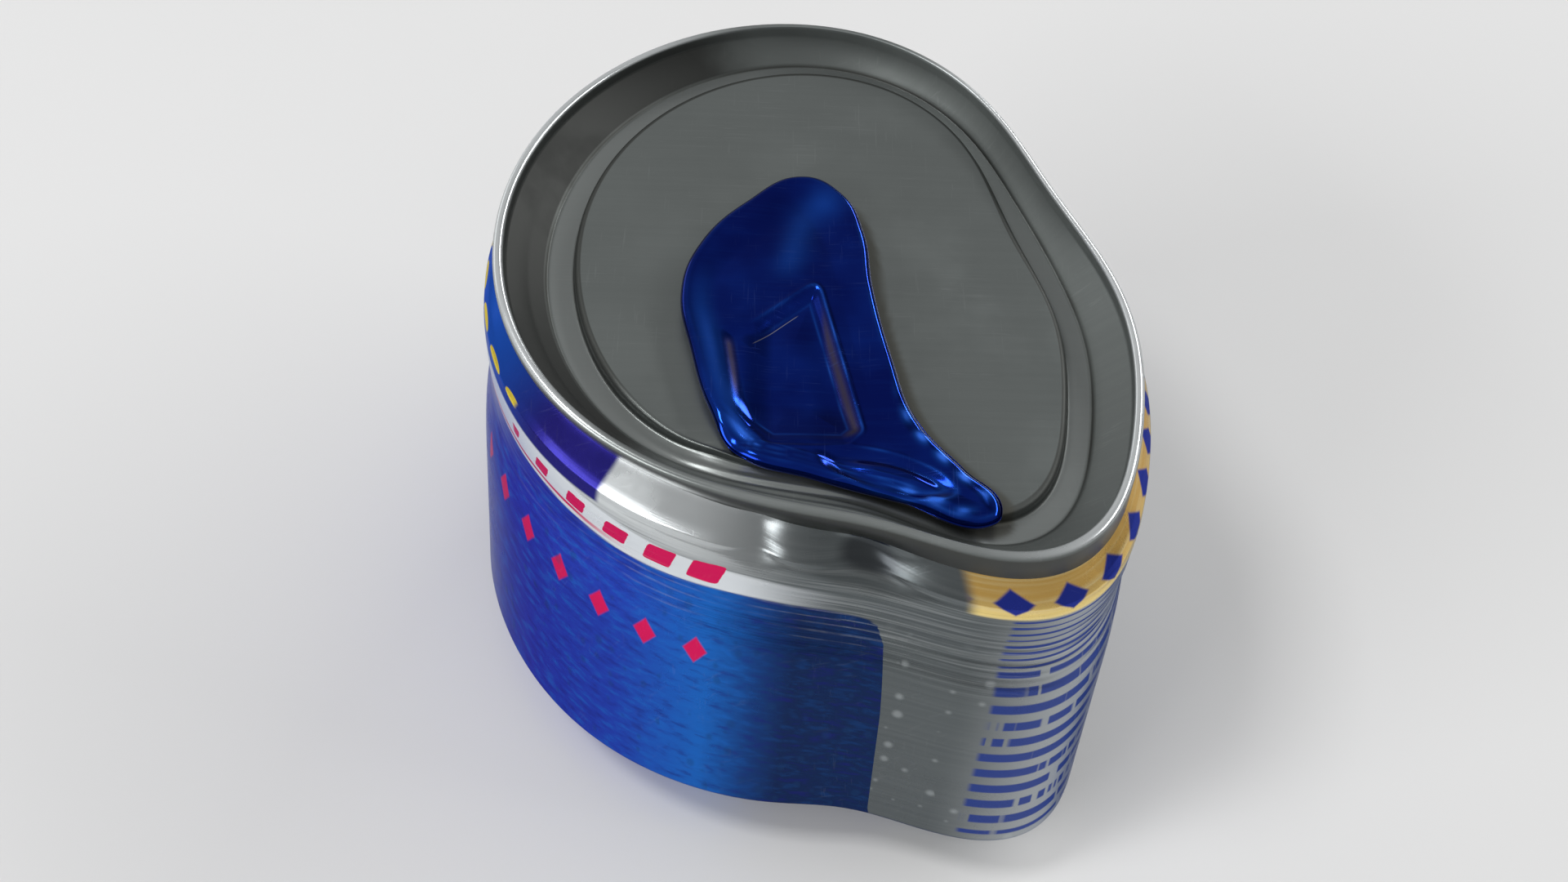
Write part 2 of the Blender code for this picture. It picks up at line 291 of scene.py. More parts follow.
def make_crush_group():
    """Where a point of the can as made lies once the can is crushed."""
    tree, given, result = node_group(
        "Crush", "GeometryNodeTree",
        [
            ("Place", "Vector", None),
            ("Rim Height", "Float", RIM_HEIGHT),
            ("Foot Height", "Float", FOOT_HEIGHT),
            ("Rim Reach", "Float", RIM_REACH),
            ("Panel Radius", "Float", PANEL_RADIUS),
            ("Seam Radius", "Float", SEAM_RADIUS),
            ("Seam Width", "Float", SEAM_WIDTH),
            ("Swell", "Float", 3.0 * MM),
            ("Foot Lean", "Vector", (-2.5 * MM, -8.2 * MM, 0.0)),
            ("Lid Slope", "Vector", (LID_SLOPE.x, LID_SLOPE.y, 0.0)),
            ("Seat", "Vector", tuple(RIM_PLACE)),
            ("Ring Fold Bearing", "Float", 264.0),
            ("Ring Fold Half Width", "Float", 27.0),
            ("Ring Fold Radius", "Float", 21.6 * MM),
            ("Ring Fold Reach", "Float", 2.0 * MM),
            ("Ring Fold Pitch", "Float", 1.25 * MM),
            ("Ring Fold Depth", "Float", 0.11 * MM),
            ("Ring Lift", "Float", 1.1 * MM),
            ("Tuck Bearing", "Float", 232.0),
            ("Tuck Half Width", "Float", 46.0),
            ("Tuck Drop", "Float", 2.7 * MM),
            ("Tuck Half Height", "Float", 1.3 * MM),
            ("Tuck Depth", "Float", 0.95 * MM),
            ("Kick Place", "Vector", (-7.3 * MM, -15.0 * MM, 0.0)),
            ("Kick Reach", "Float", 1.8 * MM),
            ("Kick Height", "Float", 0.3 * MM),
        ],
        [("Place", "Vector"), ("Crease", "Float")],
    )
    place = wired(tree, "ShaderNodeSeparateXYZ", given["Place"]).outputs
    across = vector(tree, place[0], place[1], 0.0)
    radius = wired(tree, "ShaderNodeVectorMath", across, operation="LENGTH").outputs["Value"]
    turn = maths(tree, "ARCTAN2", place[1], place[0])
    bearing = maths(tree, "DEGREES", turn)
    under_rim = minus(tree, given["Rim Height"], given["Rim Reach"])
    rise = ramp(tree, place[2], given["Foot Height"], under_rim)

    depth = times(tree, given["Swell"], -1.0)
    for middle, half_width, at_rim, at_foot in PRESSES.values():
        here = ramp(tree, rise, 0.0, 1.0, at_foot, at_rim)
        bump = near_bearing(tree, bearing, middle, half_width)
        depth = times_plus(tree, here, bump, depth)
    squeeze = 0.0
    for middle, half_width, push in SQUEEZES.values():
        bump = near_bearing(tree, bearing, middle, half_width)
        squeeze = times_plus(tree, bump, push, squeeze)

    share = maths(tree, "MINIMUM", divide(tree, radius, given["Panel Radius"]), 1.0)
    ridge = times_plus(tree, given["Seam Width"], -0.5, given["Seam Radius"])
    ring = ramp(tree, radius, ridge, given["Panel Radius"])
    ring = times(tree, ring, share)
    moved = minus(tree, radius, times(tree, depth, share))
    corner = times(tree, times(tree, ring, minus(tree, 1.0, ring)), 4.0)
    for middle, half_width, push in RING_PUSHES.values():
        bump = near_bearing(tree, bearing, middle, half_width)
        moved = times_plus(tree, times(tree, bump, push), corner, moved)
    moved = times_plus(tree, times(tree, squeeze, ring), rise, moved)

    drop = minus(tree, given["Rim Height"], place[2])
    folds = grouped(tree, wall_folds, Bearing=bearing, Drop=drop)
    seam_inside = minus(tree, given["Seam Radius"], given["Seam Width"])
    outside = ramp(tree, radius, seam_inside, given["Seam Radius"])
    moved = minus(tree, moved, times(tree, folds["Depth"], outside))

    # The seam's lower edge is tucked in under its ridge along the near side
    tuck = near_bearing(tree, bearing, given["Tuck Bearing"], given["Tuck Half Width"])
    level = near_level(tree, drop, given["Tuck Drop"], given["Tuck Half Height"])
    tuck = times(tree, times(tree, tuck, level), given["Tuck Depth"])
    in_seam = ramp(tree, radius, SEAM_RADIUS - 2.6 * MM, SEAM_RADIUS - 1.1 * MM)
    moved = minus(tree, moved, times(tree, tuck, in_seam))

    flat = around(tree, turn, moved, 0.0)
    lift = wired(tree, "ShaderNodeVectorMath", given["Lid Slope"], flat, operation="DOT_PRODUCT")
    height = times_plus(tree, lift.outputs["Value"], rise, place[2])

    # The rings are pleated at the near side, and the panel's edge is kicked up beside the tab
    along_rim = near_bearing(tree, bearing, given["Ring Fold Bearing"], given["Ring Fold Half Width"])
    across = near_level(tree, radius, given["Ring Fold Radius"], given["Ring Fold Reach"])
    phase = divide(tree, times(tree, radius, math.tau), given["Ring Fold Pitch"])
    phase = plus(tree, phase, maths(tree, "SINE", times(tree, turn, 4.0)))
    pleat = times(tree, maths(tree, "COSINE", phase), given["Ring Fold Depth"])
    pleat = times(tree, pleat, times(tree, along_rim, across))
    height = times_plus(tree, pleat, rise, height)
    past_panel = ramp(tree, radius, PANEL_RADIUS + 0.05 * MM, PANEL_RADIUS + 0.65 * MM)
    before_seam = ramp(tree, radius, SEAM_RADIUS - 1.1 * MM, SEAM_RADIUS - 4.1 * MM)
    sunk_ring = times(tree, past_panel, before_seam)
    sunk_ring = times(tree, times(tree, sunk_ring, along_rim), given["Ring Lift"])
    height = times_plus(tree, sunk_ring, rise, height)
    from_kick = wired(tree, "ShaderNodeVectorMath", flat, given["Kick Place"], operation="DISTANCE")
    kick = near_level(tree, from_kick.outputs["Value"], 0.0, given["Kick Reach"])
    kick = times(tree, kick, given["Kick Height"])
    height = times_plus(tree, kick, rise, height)
    fall = minus(tree, 1.0, rise)
    lean = wired(tree, "ShaderNodeVectorMath", given["Foot Lean"], operation="SCALE")
    tree.links.new(fall, lean.inputs["Scale"])
    flat = wired(tree, "ShaderNodeVectorMath", flat, lean.outputs[0], operation="ADD").outputs[0]
    flat = wired(tree, "ShaderNodeVectorMath", flat, given["Seat"], operation="ADD").outputs[0]
    up = vector(tree, 0.0, 0.0, height)
    final = wired(tree, "ShaderNodeVectorMath", flat, up, operation="ADD").outputs[0]
    tree.links.new(final, result["Place"])
    tree.links.new(times(tree, folds["Crease"], outside), result["Crease"])
    return tree


crush = make_crush_group()


def make_turning_tree():
    """Turns a profile about Z into a closed skin with a print map on it, and crushes it."""
    tree, given, result = node_group(
        "Turned And Crushed", "GeometryNodeTree",
        [
            ("Profile", "Geometry", None),
            ("Steps", "Int", TURN_STEPS),
            ("Start Bearing", "Float", SEAM_OF_PRINT),
            ("Rim Height", "Float", RIM_HEIGHT),
            ("Finish", "Material", None),
        ],
        [("Skin", "Geometry")],
    )
    count = wired(tree, "GeometryNodeAttributeDomainSize", given["Profile"]).outputs["Point Count"]
    columns = plus(tree, given["Steps"], 1.0)
    grid = wired(tree, "GeometryNodeMeshGrid", 1.0, 1.0, columns, count)
    index = tree.nodes.new("GeometryNodeInputIndex").outputs[0]
    step = maths(tree, "FLOOR", divide(tree, plus(tree, index, 0.5), count))
    ring = minus(tree, index, times(tree, step, count))
    share = divide(tree, step, given["Steps"])

    position = tree.nodes.new("GeometryNodeInputPosition").outputs[0]
    sample = tree.nodes.new("GeometryNodeSampleIndex")
    sample.data_type = "FLOAT_VECTOR"
    sample.domain = "POINT"
    tree.links.new(given["Profile"], sample.inputs["Geometry"])
    tree.links.new(position, sample.inputs["Value"])
    tree.links.new(ring, sample.inputs["Index"])
    drawn = wired(tree, "ShaderNodeSeparateXYZ", sample.outputs[0]).outputs
    turn = times(tree, share, math.tau)
    turn = plus(tree, turn, maths(tree, "RADIANS", given["Start Bearing"]))
    made = around(tree, turn, drawn[0], drawn[2])
    bent = grouped(tree, crush, Place=made, Rim_Height=given["Rim Height"])

    level = divide(tree, drawn[2], given["Rim Height"])
    print_place = vector(tree, share, level, 0.0)
    on_points = wired(
        tree, "GeometryNodeFieldOnDomain", print_place, data_type="FLOAT_VECTOR", domain="POINT"
    ).outputs[0]
    skin = grid.outputs["Mesh"]
    for name, kind, domain, value in (
        ("UVMap", "FLOAT2", "CORNER", on_points),
        ("Crease", "FLOAT", "POINT", bent["Crease"]),
        ("Radius", "FLOAT", "POINT", divide(tree, drawn[0], MM)),
    ):
        kept = wired(tree, "GeometryNodeStoreNamedAttribute", data_type=kind, domain=domain)
        kept.inputs["Name"].default_value = name
        tree.links.new(skin, kept.inputs["Geometry"])
        tree.links.new(value, kept.inputs["Value"])
        skin = kept.outputs[0]

    shaped = tree.nodes.new("GeometryNodeSetPosition")
    tree.links.new(skin, shaped.inputs["Geometry"])
    tree.links.new(bent["Place"], shaped.inputs["Position"])
    flipped = wired(tree, "GeometryNodeFlipFaces", shaped.outputs[0])
    merged = tree.nodes.new("GeometryNodeMergeByDistance")
    merged.inputs["Distance"].default_value = 0.000002
    tree.links.new(flipped.outputs[0], merged.inputs["Geometry"])
    smooth = wired(tree, "GeometryNodeSetShadeSmooth", merged.outputs[0])
    real = wired(tree, "GeometryNodeRealizeInstances", smooth.outputs[0])
    finished = tree.nodes.new("GeometryNodeSetMaterial")
    tree.links.new(real.outputs[0], finished.inputs["Geometry"])
    tree.links.new(given["Finish"], finished.inputs["Material"])
    tree.links.new(finished.outputs[0], result["Skin"])
    return tree


turning = make_turning_tree()


def arc(middle_x, middle_z, radius, start, end, steps):
    """Points of an arc in the profile's plane, with 0 degrees at +X and 90 at +Z."""
    points = []
    for step in range(steps + 1):
        angle = math.radians(start + (end - start) * step / steps)
        points.append((middle_x + radius * math.cos(angle), middle_z + radius * math.sin(angle)))
    return points


def divided(points, longest):
    """The same line with points added, so that no part of it is longer than this."""
    line = [points[0]]
    for (x0, z0), (x1, z1) in zip(points, points[1:]):
        parts = max(1, math.ceil(math.hypot(x1 - x0, z1 - z0) / longest))
        for part in range(1, parts + 1):
            share = part / parts
            line.append((x0 + (x1 - x0) * share, z0 + (z1 - z0) * share))
    return line


def turned(name, profile, finish, sharp_from):
    """A closed skin turned from its profile and crushed, as a plain mesh."""
    mesh = bpy.data.meshes.new(name + "_profile")
    mesh.from_pydata([(x, 0, z) for x, z in profile], [], [])
    maker = bpy.data.objects.new(name + "_profile", mesh)
    bpy.context.scene.collection.objects.link(maker)
    modifier = maker.modifiers.new("Turn", "NODES")
    modifier.node_group = turning
    values = {
        "Steps": TURN_STEPS,
        "Start Bearing": float(SEAM_OF_PRINT),
        "Rim Height": RIM_HEIGHT,
        "Finish": finish,
    }
    for socket in turning.interface.items_tree:
        if socket.in_out == "INPUT" and socket.name in values:
            modifier[socket.identifier] = values[socket.name]
    graph = bpy.context.evaluated_depsgraph_get()
    skin = bpy.data.meshes.new_from_object(maker.evaluated_get(graph))
    bpy.data.objects.remove(maker)
    skin.name = name
    skin.set_sharp_from_angle(angle=math.radians(sharp_from))
    piece = bpy.data.objects.new(name, skin)
    bpy.context.scene.collection.objects.link(piece)
    return piece


def body_profile():
    """The body's outside, from under the end over the lip and down to the dome."""
    floor = RIM_HEIGHT - SINK_DEPTH - SHEET - SEAT_GAP
    lip_out = SEAM_RADIUS - SHEET - LIP_GAP
    lip_in = lip_out - SHEET * 0.6
    lip_top = RIM_HEIGHT - SEAM_WIDTH / 2 - SHEET
    neck = RIM_HEIGHT - SEAM_HEIGHT - SEAT_GAP
    shoulder = RIM_HEIGHT - SHOULDER_DROP
    hidden = [(0, floor), (PANEL_RADIUS * 0.5, floor), (PANEL_RADIUS, floor)]
    hidden += [(PANEL_RADIUS + PANEL_EDGE + SINK_WIDTH, floor)]
    hidden += [(lip_in, RIM_HEIGHT - SEAM_HEIGHT), (lip_in, lip_top)]
    hidden += [(lip_out, lip_top), (lip_out, neck + 0.5 * MM)]
    outside = [(lip_out, neck), (SHOULDER_RADIUS - 0.5 * MM, (neck + shoulder) / 2)]
    outside += [(SHOULDER_RADIUS - 0.1 * MM, shoulder + 0.7 * MM), (SHOULDER_RADIUS, shoulder)]
    outside += [(WALL_RADIUS, RIM_HEIGHT - 14.9 * MM), (WALL_RADIUS, FOOT_HEIGHT + 0.02 * MM)]
    below = arc(WALL_RADIUS - FOOT_BEND, FOOT_HEIGHT, FOOT_BEND, 0, -45, 5)
    below += [(STAND_RADIUS + 0.5 * MM, 0.2 * MM), (STAND_RADIUS, 0)]
    inside = STAND_RADIUS - STAND_WIDTH
    below += [(inside, 0), (inside - 0.6 * MM, 0.9 * MM)]
    below += [(inside * 0.75, DOME_HEIGHT * 0.52), (inside * 0.4, DOME_HEIGHT * 0.88)]
    below += [(0, DOME_HEIGHT)]
    return hidden + divided(outside, 0.16 * MM) + divided(below, 0.8 * MM)


# The print's length and height in millimetres
PRINT_LENGTH = 166.5
PRINT_HEIGHT = RIM_HEIGHT / MM

# The upper edge of the blue field round the can: share of the way round, height in millimetres
FIELD_EDGE = [
    (0.0, 15.0), (0.07, 10.0), (0.15, 14.0), (0.24, 22.4), (0.33, 22.9), (0.41, 22.2), (0.48, 22.4),
    (0.523, 22.2), (0.531, 20.5), (0.536, 12.0), (0.543, 3.0), (0.565, 0.6), (0.74, 1.4), (0.84, 6.0),
    (0.93, 13.5), (1.0, 15.0),
]
# The blue's change of tone round the can: partly the print's own hue, partly a painted highlight just left of
# the front and painted shade from the front to the right
FIELD_TONES_AND_PAINTED_LIGHT = [
    (0.0, (0.012, 0.05, 0.30)),
    (0.22, (0.026, 0.022, 0.34)),
    (0.33, (0.022, 0.030, 0.42)),
    (0.40, (0.016, 0.055, 0.46)),
    (0.448, (0.012, 0.14, 0.56)),
    (0.474, (0.008, 0.05, 0.22)),
    (0.492, (0.006, 0.022, 0.09)),
    (0.56, (0.006, 0.022, 0.085)),
    (0.70, (0.012, 0.05, 0.30)),
]
# Bare silver as painted shade, as painted light and as a painted highlight
SILVER_PAINTED_SHADE = (0.115, 0.13, 0.135)
SILVER_PAINTED_LIGHT = (0.40, 0.425, 0.44)
SILVER_PAINTED_HIGHLIGHT = (0.62, 0.65, 0.66)
STREAK_LIGHT = (0.40, 0.425, 0.43)
STREAK_DARK = (0.08, 0.09, 0.095)
# Painted shade for the deep pinch
PINCH_PAINTED_SHADE = (0.04, 0.045, 0.05)
BLUE_BRIGHT = (0.012, 0.15, 0.60)
BLUE_DEEP = (0.012, 0.014, 0.20)
WHITE_INK = (0.80, 0.84, 0.87)
RED_INK = (0.74, 0.010, 0.11)
NECK_BLUE = (0.010, 0.085, 0.50)
NECK_INDIGO = (0.016, 0.012, 0.17)
# Painted highlight for the gold's lower edge
GOLD_LOW_HIGHLIGHT = (0.95, 0.74, 0.28)
GOLD_HIGH = (0.66, 0.41, 0.11)
GOLD_STREAK = (0.92, 0.78, 0.42)
GOLD_DASH = (0.80, 0.62, 0.06)
LOZENGE_BLUE = (0.02, 0.035, 0.30)
SMALL_PRINT_BLUE = (0.02, 0.05, 0.28)
DEW_PALE = (0.50, 0.54, 0.55)
DEW_DARK = (0.01, 0.05, 0.16)
RUBBED_METAL = (0.55, 0.57, 0.58)
UNDERSIDE_METAL = (0.42, 0.44, 0.44)

# Heights and shares of the way round where parts of the print start and end
NECK_START = 25.35
LEFT_NECK = (0.10, 0.384)
RIGHT_NECK = (0.558, 0.80)
SMALL_PRINT = (0.572, 0.735)
RULE_PITCH = 0.62
BAR_PITCH = 1.5


def mixed(tree, share, under, over):
    """Two colours mixed by a share."""
    made = tree.nodes.new("ShaderNodeMix")
    made.data_type = "RGBA"
    for socket, value in ((made.inputs[0], share), (made.inputs[6], under), (made.inputs[7], over)):
        if isinstance(value, bpy.types.NodeSocket):
            tree.links.new(value, socket)
        elif isinstance(value, tuple):
            socket.default_value = (*value, 1.0)
        else:
            socket.default_value = value
    return made.outputs[2]


def between(tree, value, low, high, to_low=0.0, to_high=1.0):
    """The value carried from one range to another with a smooth start and end."""
    made = wired(tree, "ShaderNodeMapRange", value, low, high, to_low, to_high)
    made.interpolation_type = "SMOOTHSTEP"
    return made.outputs[0]


def make_band_group():
    """1 where the value lies between two limits, with soft edges."""
    tree, given, result = node_group(
        "Band", "ShaderNodeTree",
        [("Value", "Float", 0.0), ("Low", "Float", 0.0), ("High", "Float", 1.0), ("Softness", "Float", 0.1)],
        [("Mask", "Float")],
    )
    over_low = minus(tree, given["Value"], given["Low"])
    over_low = divide(tree, over_low, given["Softness"])
    under_high = minus(tree, given["High"], given["Value"])
    under_high = divide(tree, under_high, given["Softness"])
    least = maths(tree, "MINIMUM", over_low, under_high)
    tree.links.new(between(tree, least, -1.0, 1.0), result["Mask"])
    return tree


def make_row_group():
    """A row of equal marks along a line: lozenges at power 1, ovals at power 2."""
    tree, given, result = node_group(
        "Row Of Marks", "ShaderNodeTree",
        [
            ("Along", "Float", 0.0),
            ("Across", "Float", 0.0),
            ("Pitch", "Float", 3.0),
            ("Half Length", "Float", 1.0),
            ("Half Height", "Float", 0.5),
            ("Power", "Float", 1.0),
            ("Lean", "Float", 0.0),
        ],
        [("Mask", "Float")],
    )
    along = times_plus(tree, given["Across"], given["Lean"], given["Along"])
    half = times(tree, given["Pitch"], 0.5)
    place = maths(tree, "WRAP", along, half, times(tree, half, -1.0))
    x = maths(tree, "ABSOLUTE", divide(tree, place, given["Half Length"]))
    y = maths(tree, "ABSOLUTE", divide(tree, given["Across"], given["Half Height"]))
    reach = plus(tree, maths(tree, "POWER", x, given["Power"]), maths(tree, "POWER", y, given["Power"]))
    tree.links.new(between(tree, reach, 0.85, 1.15, 1.0, 0.0), result["Mask"])
    return tree


def make_scuff_group():
    """Fine scratches in two directions and soft worn patches, over any metal."""
    tree, given, result = node_group(
        "Scuffs", "ShaderNodeTree",
        [
            ("Place", "Vector", None),
            ("Scale", "Float", 1.0),
            ("Scratches", "Float", 0.5),
            ("Patches", "Float", 0.5),
        ],
        [("Scratch", "Float"), ("Patch", "Float")],
    )
    total = None
    for turn, stretch in ((0.5, (1.0, 26.0, 3.0)), (-0.9, (24.0, 0.9, 3.0)), (1.9, (1.1, 30.0, 3.0))):
        shift = (turn * 7, turn * 3, 0.0)
        laid = wired(tree, "ShaderNodeMapping", given["Place"], shift, (0.0, 0.0, turn), stretch).outputs[0]
        marks = clouds(tree, laid, times(tree, given["Scale"], 190.0), 2.0, 0.5)
        line = between(tree, marks, 0.645, 0.70)
        total = line if total is None else maths(tree, "MAXIMUM", total, line)
    breaks = clouds(tree, given["Place"], times(tree, given["Scale"], 160.0), 3.0, 0.6)
    total = times(tree, total, between(tree, breaks, 0.42, 0.62))
    tree.links.new(times(tree, total, given["Scratches"]), result["Scratch"])
    patch = clouds(tree, given["Place"], times(tree, given["Scale"], 95.0), 5.0, 0.62)
    patch = times(tree, between(tree, patch, 0.35, 0.72), given["Patches"])
    tree.links.new(patch, result["Patch"])
    return tree


band = make_band_group()
row_of_marks = make_row_group()
scuffs = make_scuff_group()


def within(tree, value, low, high, softness):
    return grouped(tree, band, Value=value, Low=low, High=high, Softness=softness)[0]


def stored(tree, name):
    """A value that the mesh keeps on its points under this name."""
    return wired(tree, "ShaderNodeAttribute", attribute_name=name).outputs["Fac"]


def new_finish(name):
    """A material, its tree and shader, and the place of each point on the object."""
    finish = bpy.data.materials.new(name)
    finish.use_nodes = True
    tree = finish.node_tree
    place = tree.nodes.new("ShaderNodeTexCoord").outputs["Object"]
    return finish, tree, tree.nodes["Principled BSDF"], place


def emboss(tree, shader, relief, strength, depth):
    bumped = wired(tree, "ShaderNodeBump", strength, depth)
    tree.links.new(relief, bumped.inputs["Height"])
    tree.links.new(bumped.outputs[0], shader.inputs["Normal"])


def make_print_and_light_group():
    """The can's printed design from its print map: a blue field with a swept edge on silver, with painted
    highlights and shade on the blue, silver and gold.
    """
    tree, given, result = node_group(
        "Can Print And Painted Light", "ShaderNodeTree",
        [("Map", "Vector", None), ("Crease", "Float", 0.0)],
        [("Colour", "Color"), ("Bare", "Float"), ("Relief", "Float")],
    )
    map_place = wired(tree, "ShaderNodeSeparateXYZ", given["Map"]).outputs
    share = map_place[0]
    along = times(tree, share, PRINT_LENGTH)
    height = times(tree, map_place[1], PRINT_HEIGHT)
    flat = vector(tree, along, height, 0.0)

    # Bare silver, drawn into fine level streaks where the wall is bunched
    drawn = wired(tree, "ShaderNodeMapping", flat, None, None, (0.05, 3.2, 1.0)).outputs[0]
    streaks = clouds(tree, drawn, 1.0, 3.0, 0.65)
    bunched = within(tree, height, 19.0, 26.0, 1.6)
    fine = ramp(tree, bunched, 0.0, 1.0, 0.12, 1.0)
    streak = times(tree, minus(tree, streaks, 0.5), fine)
    # The bare silver is painted darker at the front and back and lighter on the right, as painted shade and
    # light, with a painted highlight high up left of the front
    silver_lit_side = times(tree, between(tree, share, 0.56, 0.60), between(tree, share, 0.97, 0.80))
    silver = mixed(tree, silver_lit_side, SILVER_PAINTED_SHADE, SILVER_PAINTED_LIGHT)
    neck_highlight = times(tree, between(tree, share, 0.50, 0.42), between(tree, height, 23.5, 25.0))
    silver = mixed(tree, neck_highlight, silver, SILVER_PAINTED_HIGHLIGHT)
    silver = mixed(tree, between(tree, streak, -0.05, 0.25, 0.0, 0.6), silver, STREAK_LIGHT)
    silver = mixed(tree, between(tree, streak, -0.05, -0.2, 0.0, 0.5), silver, STREAK_DARK)
    # Painted shade in the deep pinch
    pinch_shade = between(tree, given["Crease"], 0.7, 1.6, 0.0, 0.85)
    silver = mixed(tree, pinch_shade, silver, PINCH_PAINTED_SHADE)

    # The field and the white and red stripes that follow its edge
    curve = wired(tree, "ShaderNodeFloatCurve", 1.0, share)
    line = curve.mapping.curves[0]
    line.points[0].location = (0.0, FIELD_EDGE[0][1] / PRINT_HEIGHT)
    line.points[1].location = (1.0, FIELD_EDGE[-1][1] / PRINT_HEIGHT)
    for at, level in FIELD_EDGE[1:-1]:
        line.points.new(at, level / PRINT_HEIGHT)
    curve.mapping.update()
    edge = times(tree, curve.outputs[0], PRINT_HEIGHT)
    over = minus(tree, height, edge)
    over = times_plus(tree, streak, 0.5, over)

    tones = wired(tree, "ShaderNodeValToRGB", share)
    stops = tones.color_ramp.elements
    while len(stops) > 1:
        stops.remove(stops[0])
    for index, (at, tone) in enumerate(FIELD_TONES_AND_PAINTED_LIGHT):
        stop = stops[0] if index == 0 else stops.new(at)
        stop.position = at
        stop.color = (*tone, 1.0)
    grain = wired(tree, "ShaderNodeMapping", flat, None, (0.0, 0.0, 0.45), (0.5, 2.0, 1.0)).outputs[0]
    grain = clouds(tree, grain, 0.9, 5.0, 0.6)
    # The grain's lighter mottle is strongest left of the front, under the painted highlight
    highlight_side = between(tree, share, 0.48, 0.455, 0.12, 0.5)
    lighter = times(tree, between(tree, grain, 0.48, 0.68), highlight_side)
    blue = mixed(tree, lighter, tones.outputs[0], BLUE_BRIGHT)
    darker = times(tree, between(tree, grain, 0.5, 0.3), 0.5)
    blue = mixed(tree, darker, blue, BLUE_DEEP)

    field = within(tree, over, -60.0, 0.0, 0.12)
    white_end = between(tree, share, 0.34, 0.50, 2.7, 1.7)
    white = within(tree, over, 0.0, white_end, 0.12)
    white = times(tree, white, between(tree, share, 0.20, 0.26))
    white = times(tree, white, between(tree, share, 0.45, 0.515, 1.0, 0.0))
    colour = mixed(tree, white, silver, WHITE_INK)
    colour = mixed(tree, field, colour, blue)
    bare = times(tree, minus(tree, 1.0, white), minus(tree, 1.0, field))

    pin = within(tree, over, 0.35, 0.62, 0.09)
    pin = times(tree, pin, within(tree, share, 0.27, 0.385, 0.02))
    growing = ramp(tree, share, 0.30, 0.45, 0.5, 1.45)
    dots = grouped(
        tree, row_of_marks, Along=along, Across=minus(tree, over, 1.35), Pitch=4.1,
        Half_Length=growing, Half_Height=times(tree, growing, 0.62), Power=9.0, Lean=-0.45,
    )[0]
    dots = times(tree, dots, within(tree, share, 0.318, 0.4555, 0.001))
    trail = grouped(
        tree, row_of_marks, Along=along, Across=plus(tree, over, 5.2), Pitch=4.6,
        Half_Length=1.05, Half_Height=1.05, Power=1.0, Lean=0.0,
    )[0]
    trail = times(tree, trail, within(tree, share, 0.275, 0.452, 0.001))
    for mark in (pin, dots, trail):
        colour = mixed(tree, mark, colour, RED_INK)
        bare = times(tree, bare, minus(tree, 1.0, mark))

    # The neck: indigo with gold lozenges on the left, bare in the middle, gold on the right
    neck = within(tree, height, NECK_START, 60.0, 0.12)
    left_neck = times(tree, neck, within(tree, share, *LEFT_NECK, 0.002))
    right_neck = times(tree, neck, within(tree, share, *RIGHT_NECK, 0.003))
    neck_blue = mixed(tree, between(tree, share, 0.28, 0.345), NECK_BLUE, NECK_INDIGO)
    colour = mixed(tree, left_neck, colour, neck_blue)
    # The gold is painted lighter low on the band, as a painted highlight
    gold_highlight_share = between(tree, height, 25.4, 27.0)
    gold = mixed(tree, gold_highlight_share, GOLD_LOW_HIGHLIGHT, GOLD_HIGH)
    gold = mixed(tree, between(tree, streaks, 0.45, 0.7, 0.0, 0.5), gold, GOLD_STREAK)
    colour = mixed(tree, right_neck, colour, gold)
    marks = grouped(
        tree, row_of_marks, Along=along, Across=minus(tree, height, 26.5), Pitch=3.4,
        Half_Length=1.15, Half_Height=0.8, Power=1.0, Lean=0.0,
    )[0]
    colour = mixed(tree, times(tree, marks, right_neck), colour, LOZENGE_BLUE)
    dashes = grouped(
        tree, row_of_marks, Along=along, Across=minus(tree, height, 26.25), Pitch=4.4,
        Half_Length=1.45, Half_Height=0.2, Power=2.0, Lean=1.4,
    )[0]
    gold_marks = times(tree, dashes, left_neck)
    gold_marks = times(tree, gold_marks, between(tree, share, 0.318, 0.322, 1.0, 0.0))
    colour = mixed(tree, gold_marks, colour, GOLD_DASH)
    necks = maths(tree, "MAXIMUM", left_neck, right_neck)
    bare = times(tree, bare, minus(tree, 1.0, necks))

    # The panel of small blue print on the right: level stripes over rows of short bars
    panel = within(tree, share, *SMALL_PRINT, 0.0012)
    panel = times(tree, panel, within(tree, height, 5.2, 25.2, 0.1))
    ruled = minus(tree, maths(tree, "FRACT", divide(tree, height, RULE_PITCH)), 0.5)
    ruled = times(tree, maths(tree, "ABSOLUTE", ruled), RULE_PITCH)
    weight = clouds(tree, drawn, 0.8, 2.0, 0.5)
    ruled = minus(tree, between(tree, weight, 0.3, 0.7, 0.02, 0.17), ruled)
    ruled = between(tree, ruled, -0.03, 0.03)
    ruled = times(tree, ruled, within(tree, height, 20.6, 25.2, 0.1))
    row = maths(tree, "FLOOR", divide(tree, height, BAR_PITCH))
    in_row = minus(tree, maths(tree, "FRACT", divide(tree, height, BAR_PITCH)), 0.5)
    in_row = times(tree, maths(tree, "ABSOLUTE", in_row), BAR_PITCH)
    across_row = vector(tree, along, times(tree, row, 7.3), 0.0)
    words = clouds(tree, across_row, 0.75, 2.0, 0.6)
    bars = times(tree, between(tree, words, 0.38, 0.44), between(tree, in_row, 0.30, 0.45, 1.0, 0.0))
    bars = times(tree, bars, within(tree, height, 5.2, 20.4, 0.1))
    small = times(tree, maths(tree, "MAXIMUM", ruled, bars), panel)
    small = times(tree, small, 0.9)
    colour = mixed(tree, small, colour, SMALL_PRINT_BLUE)

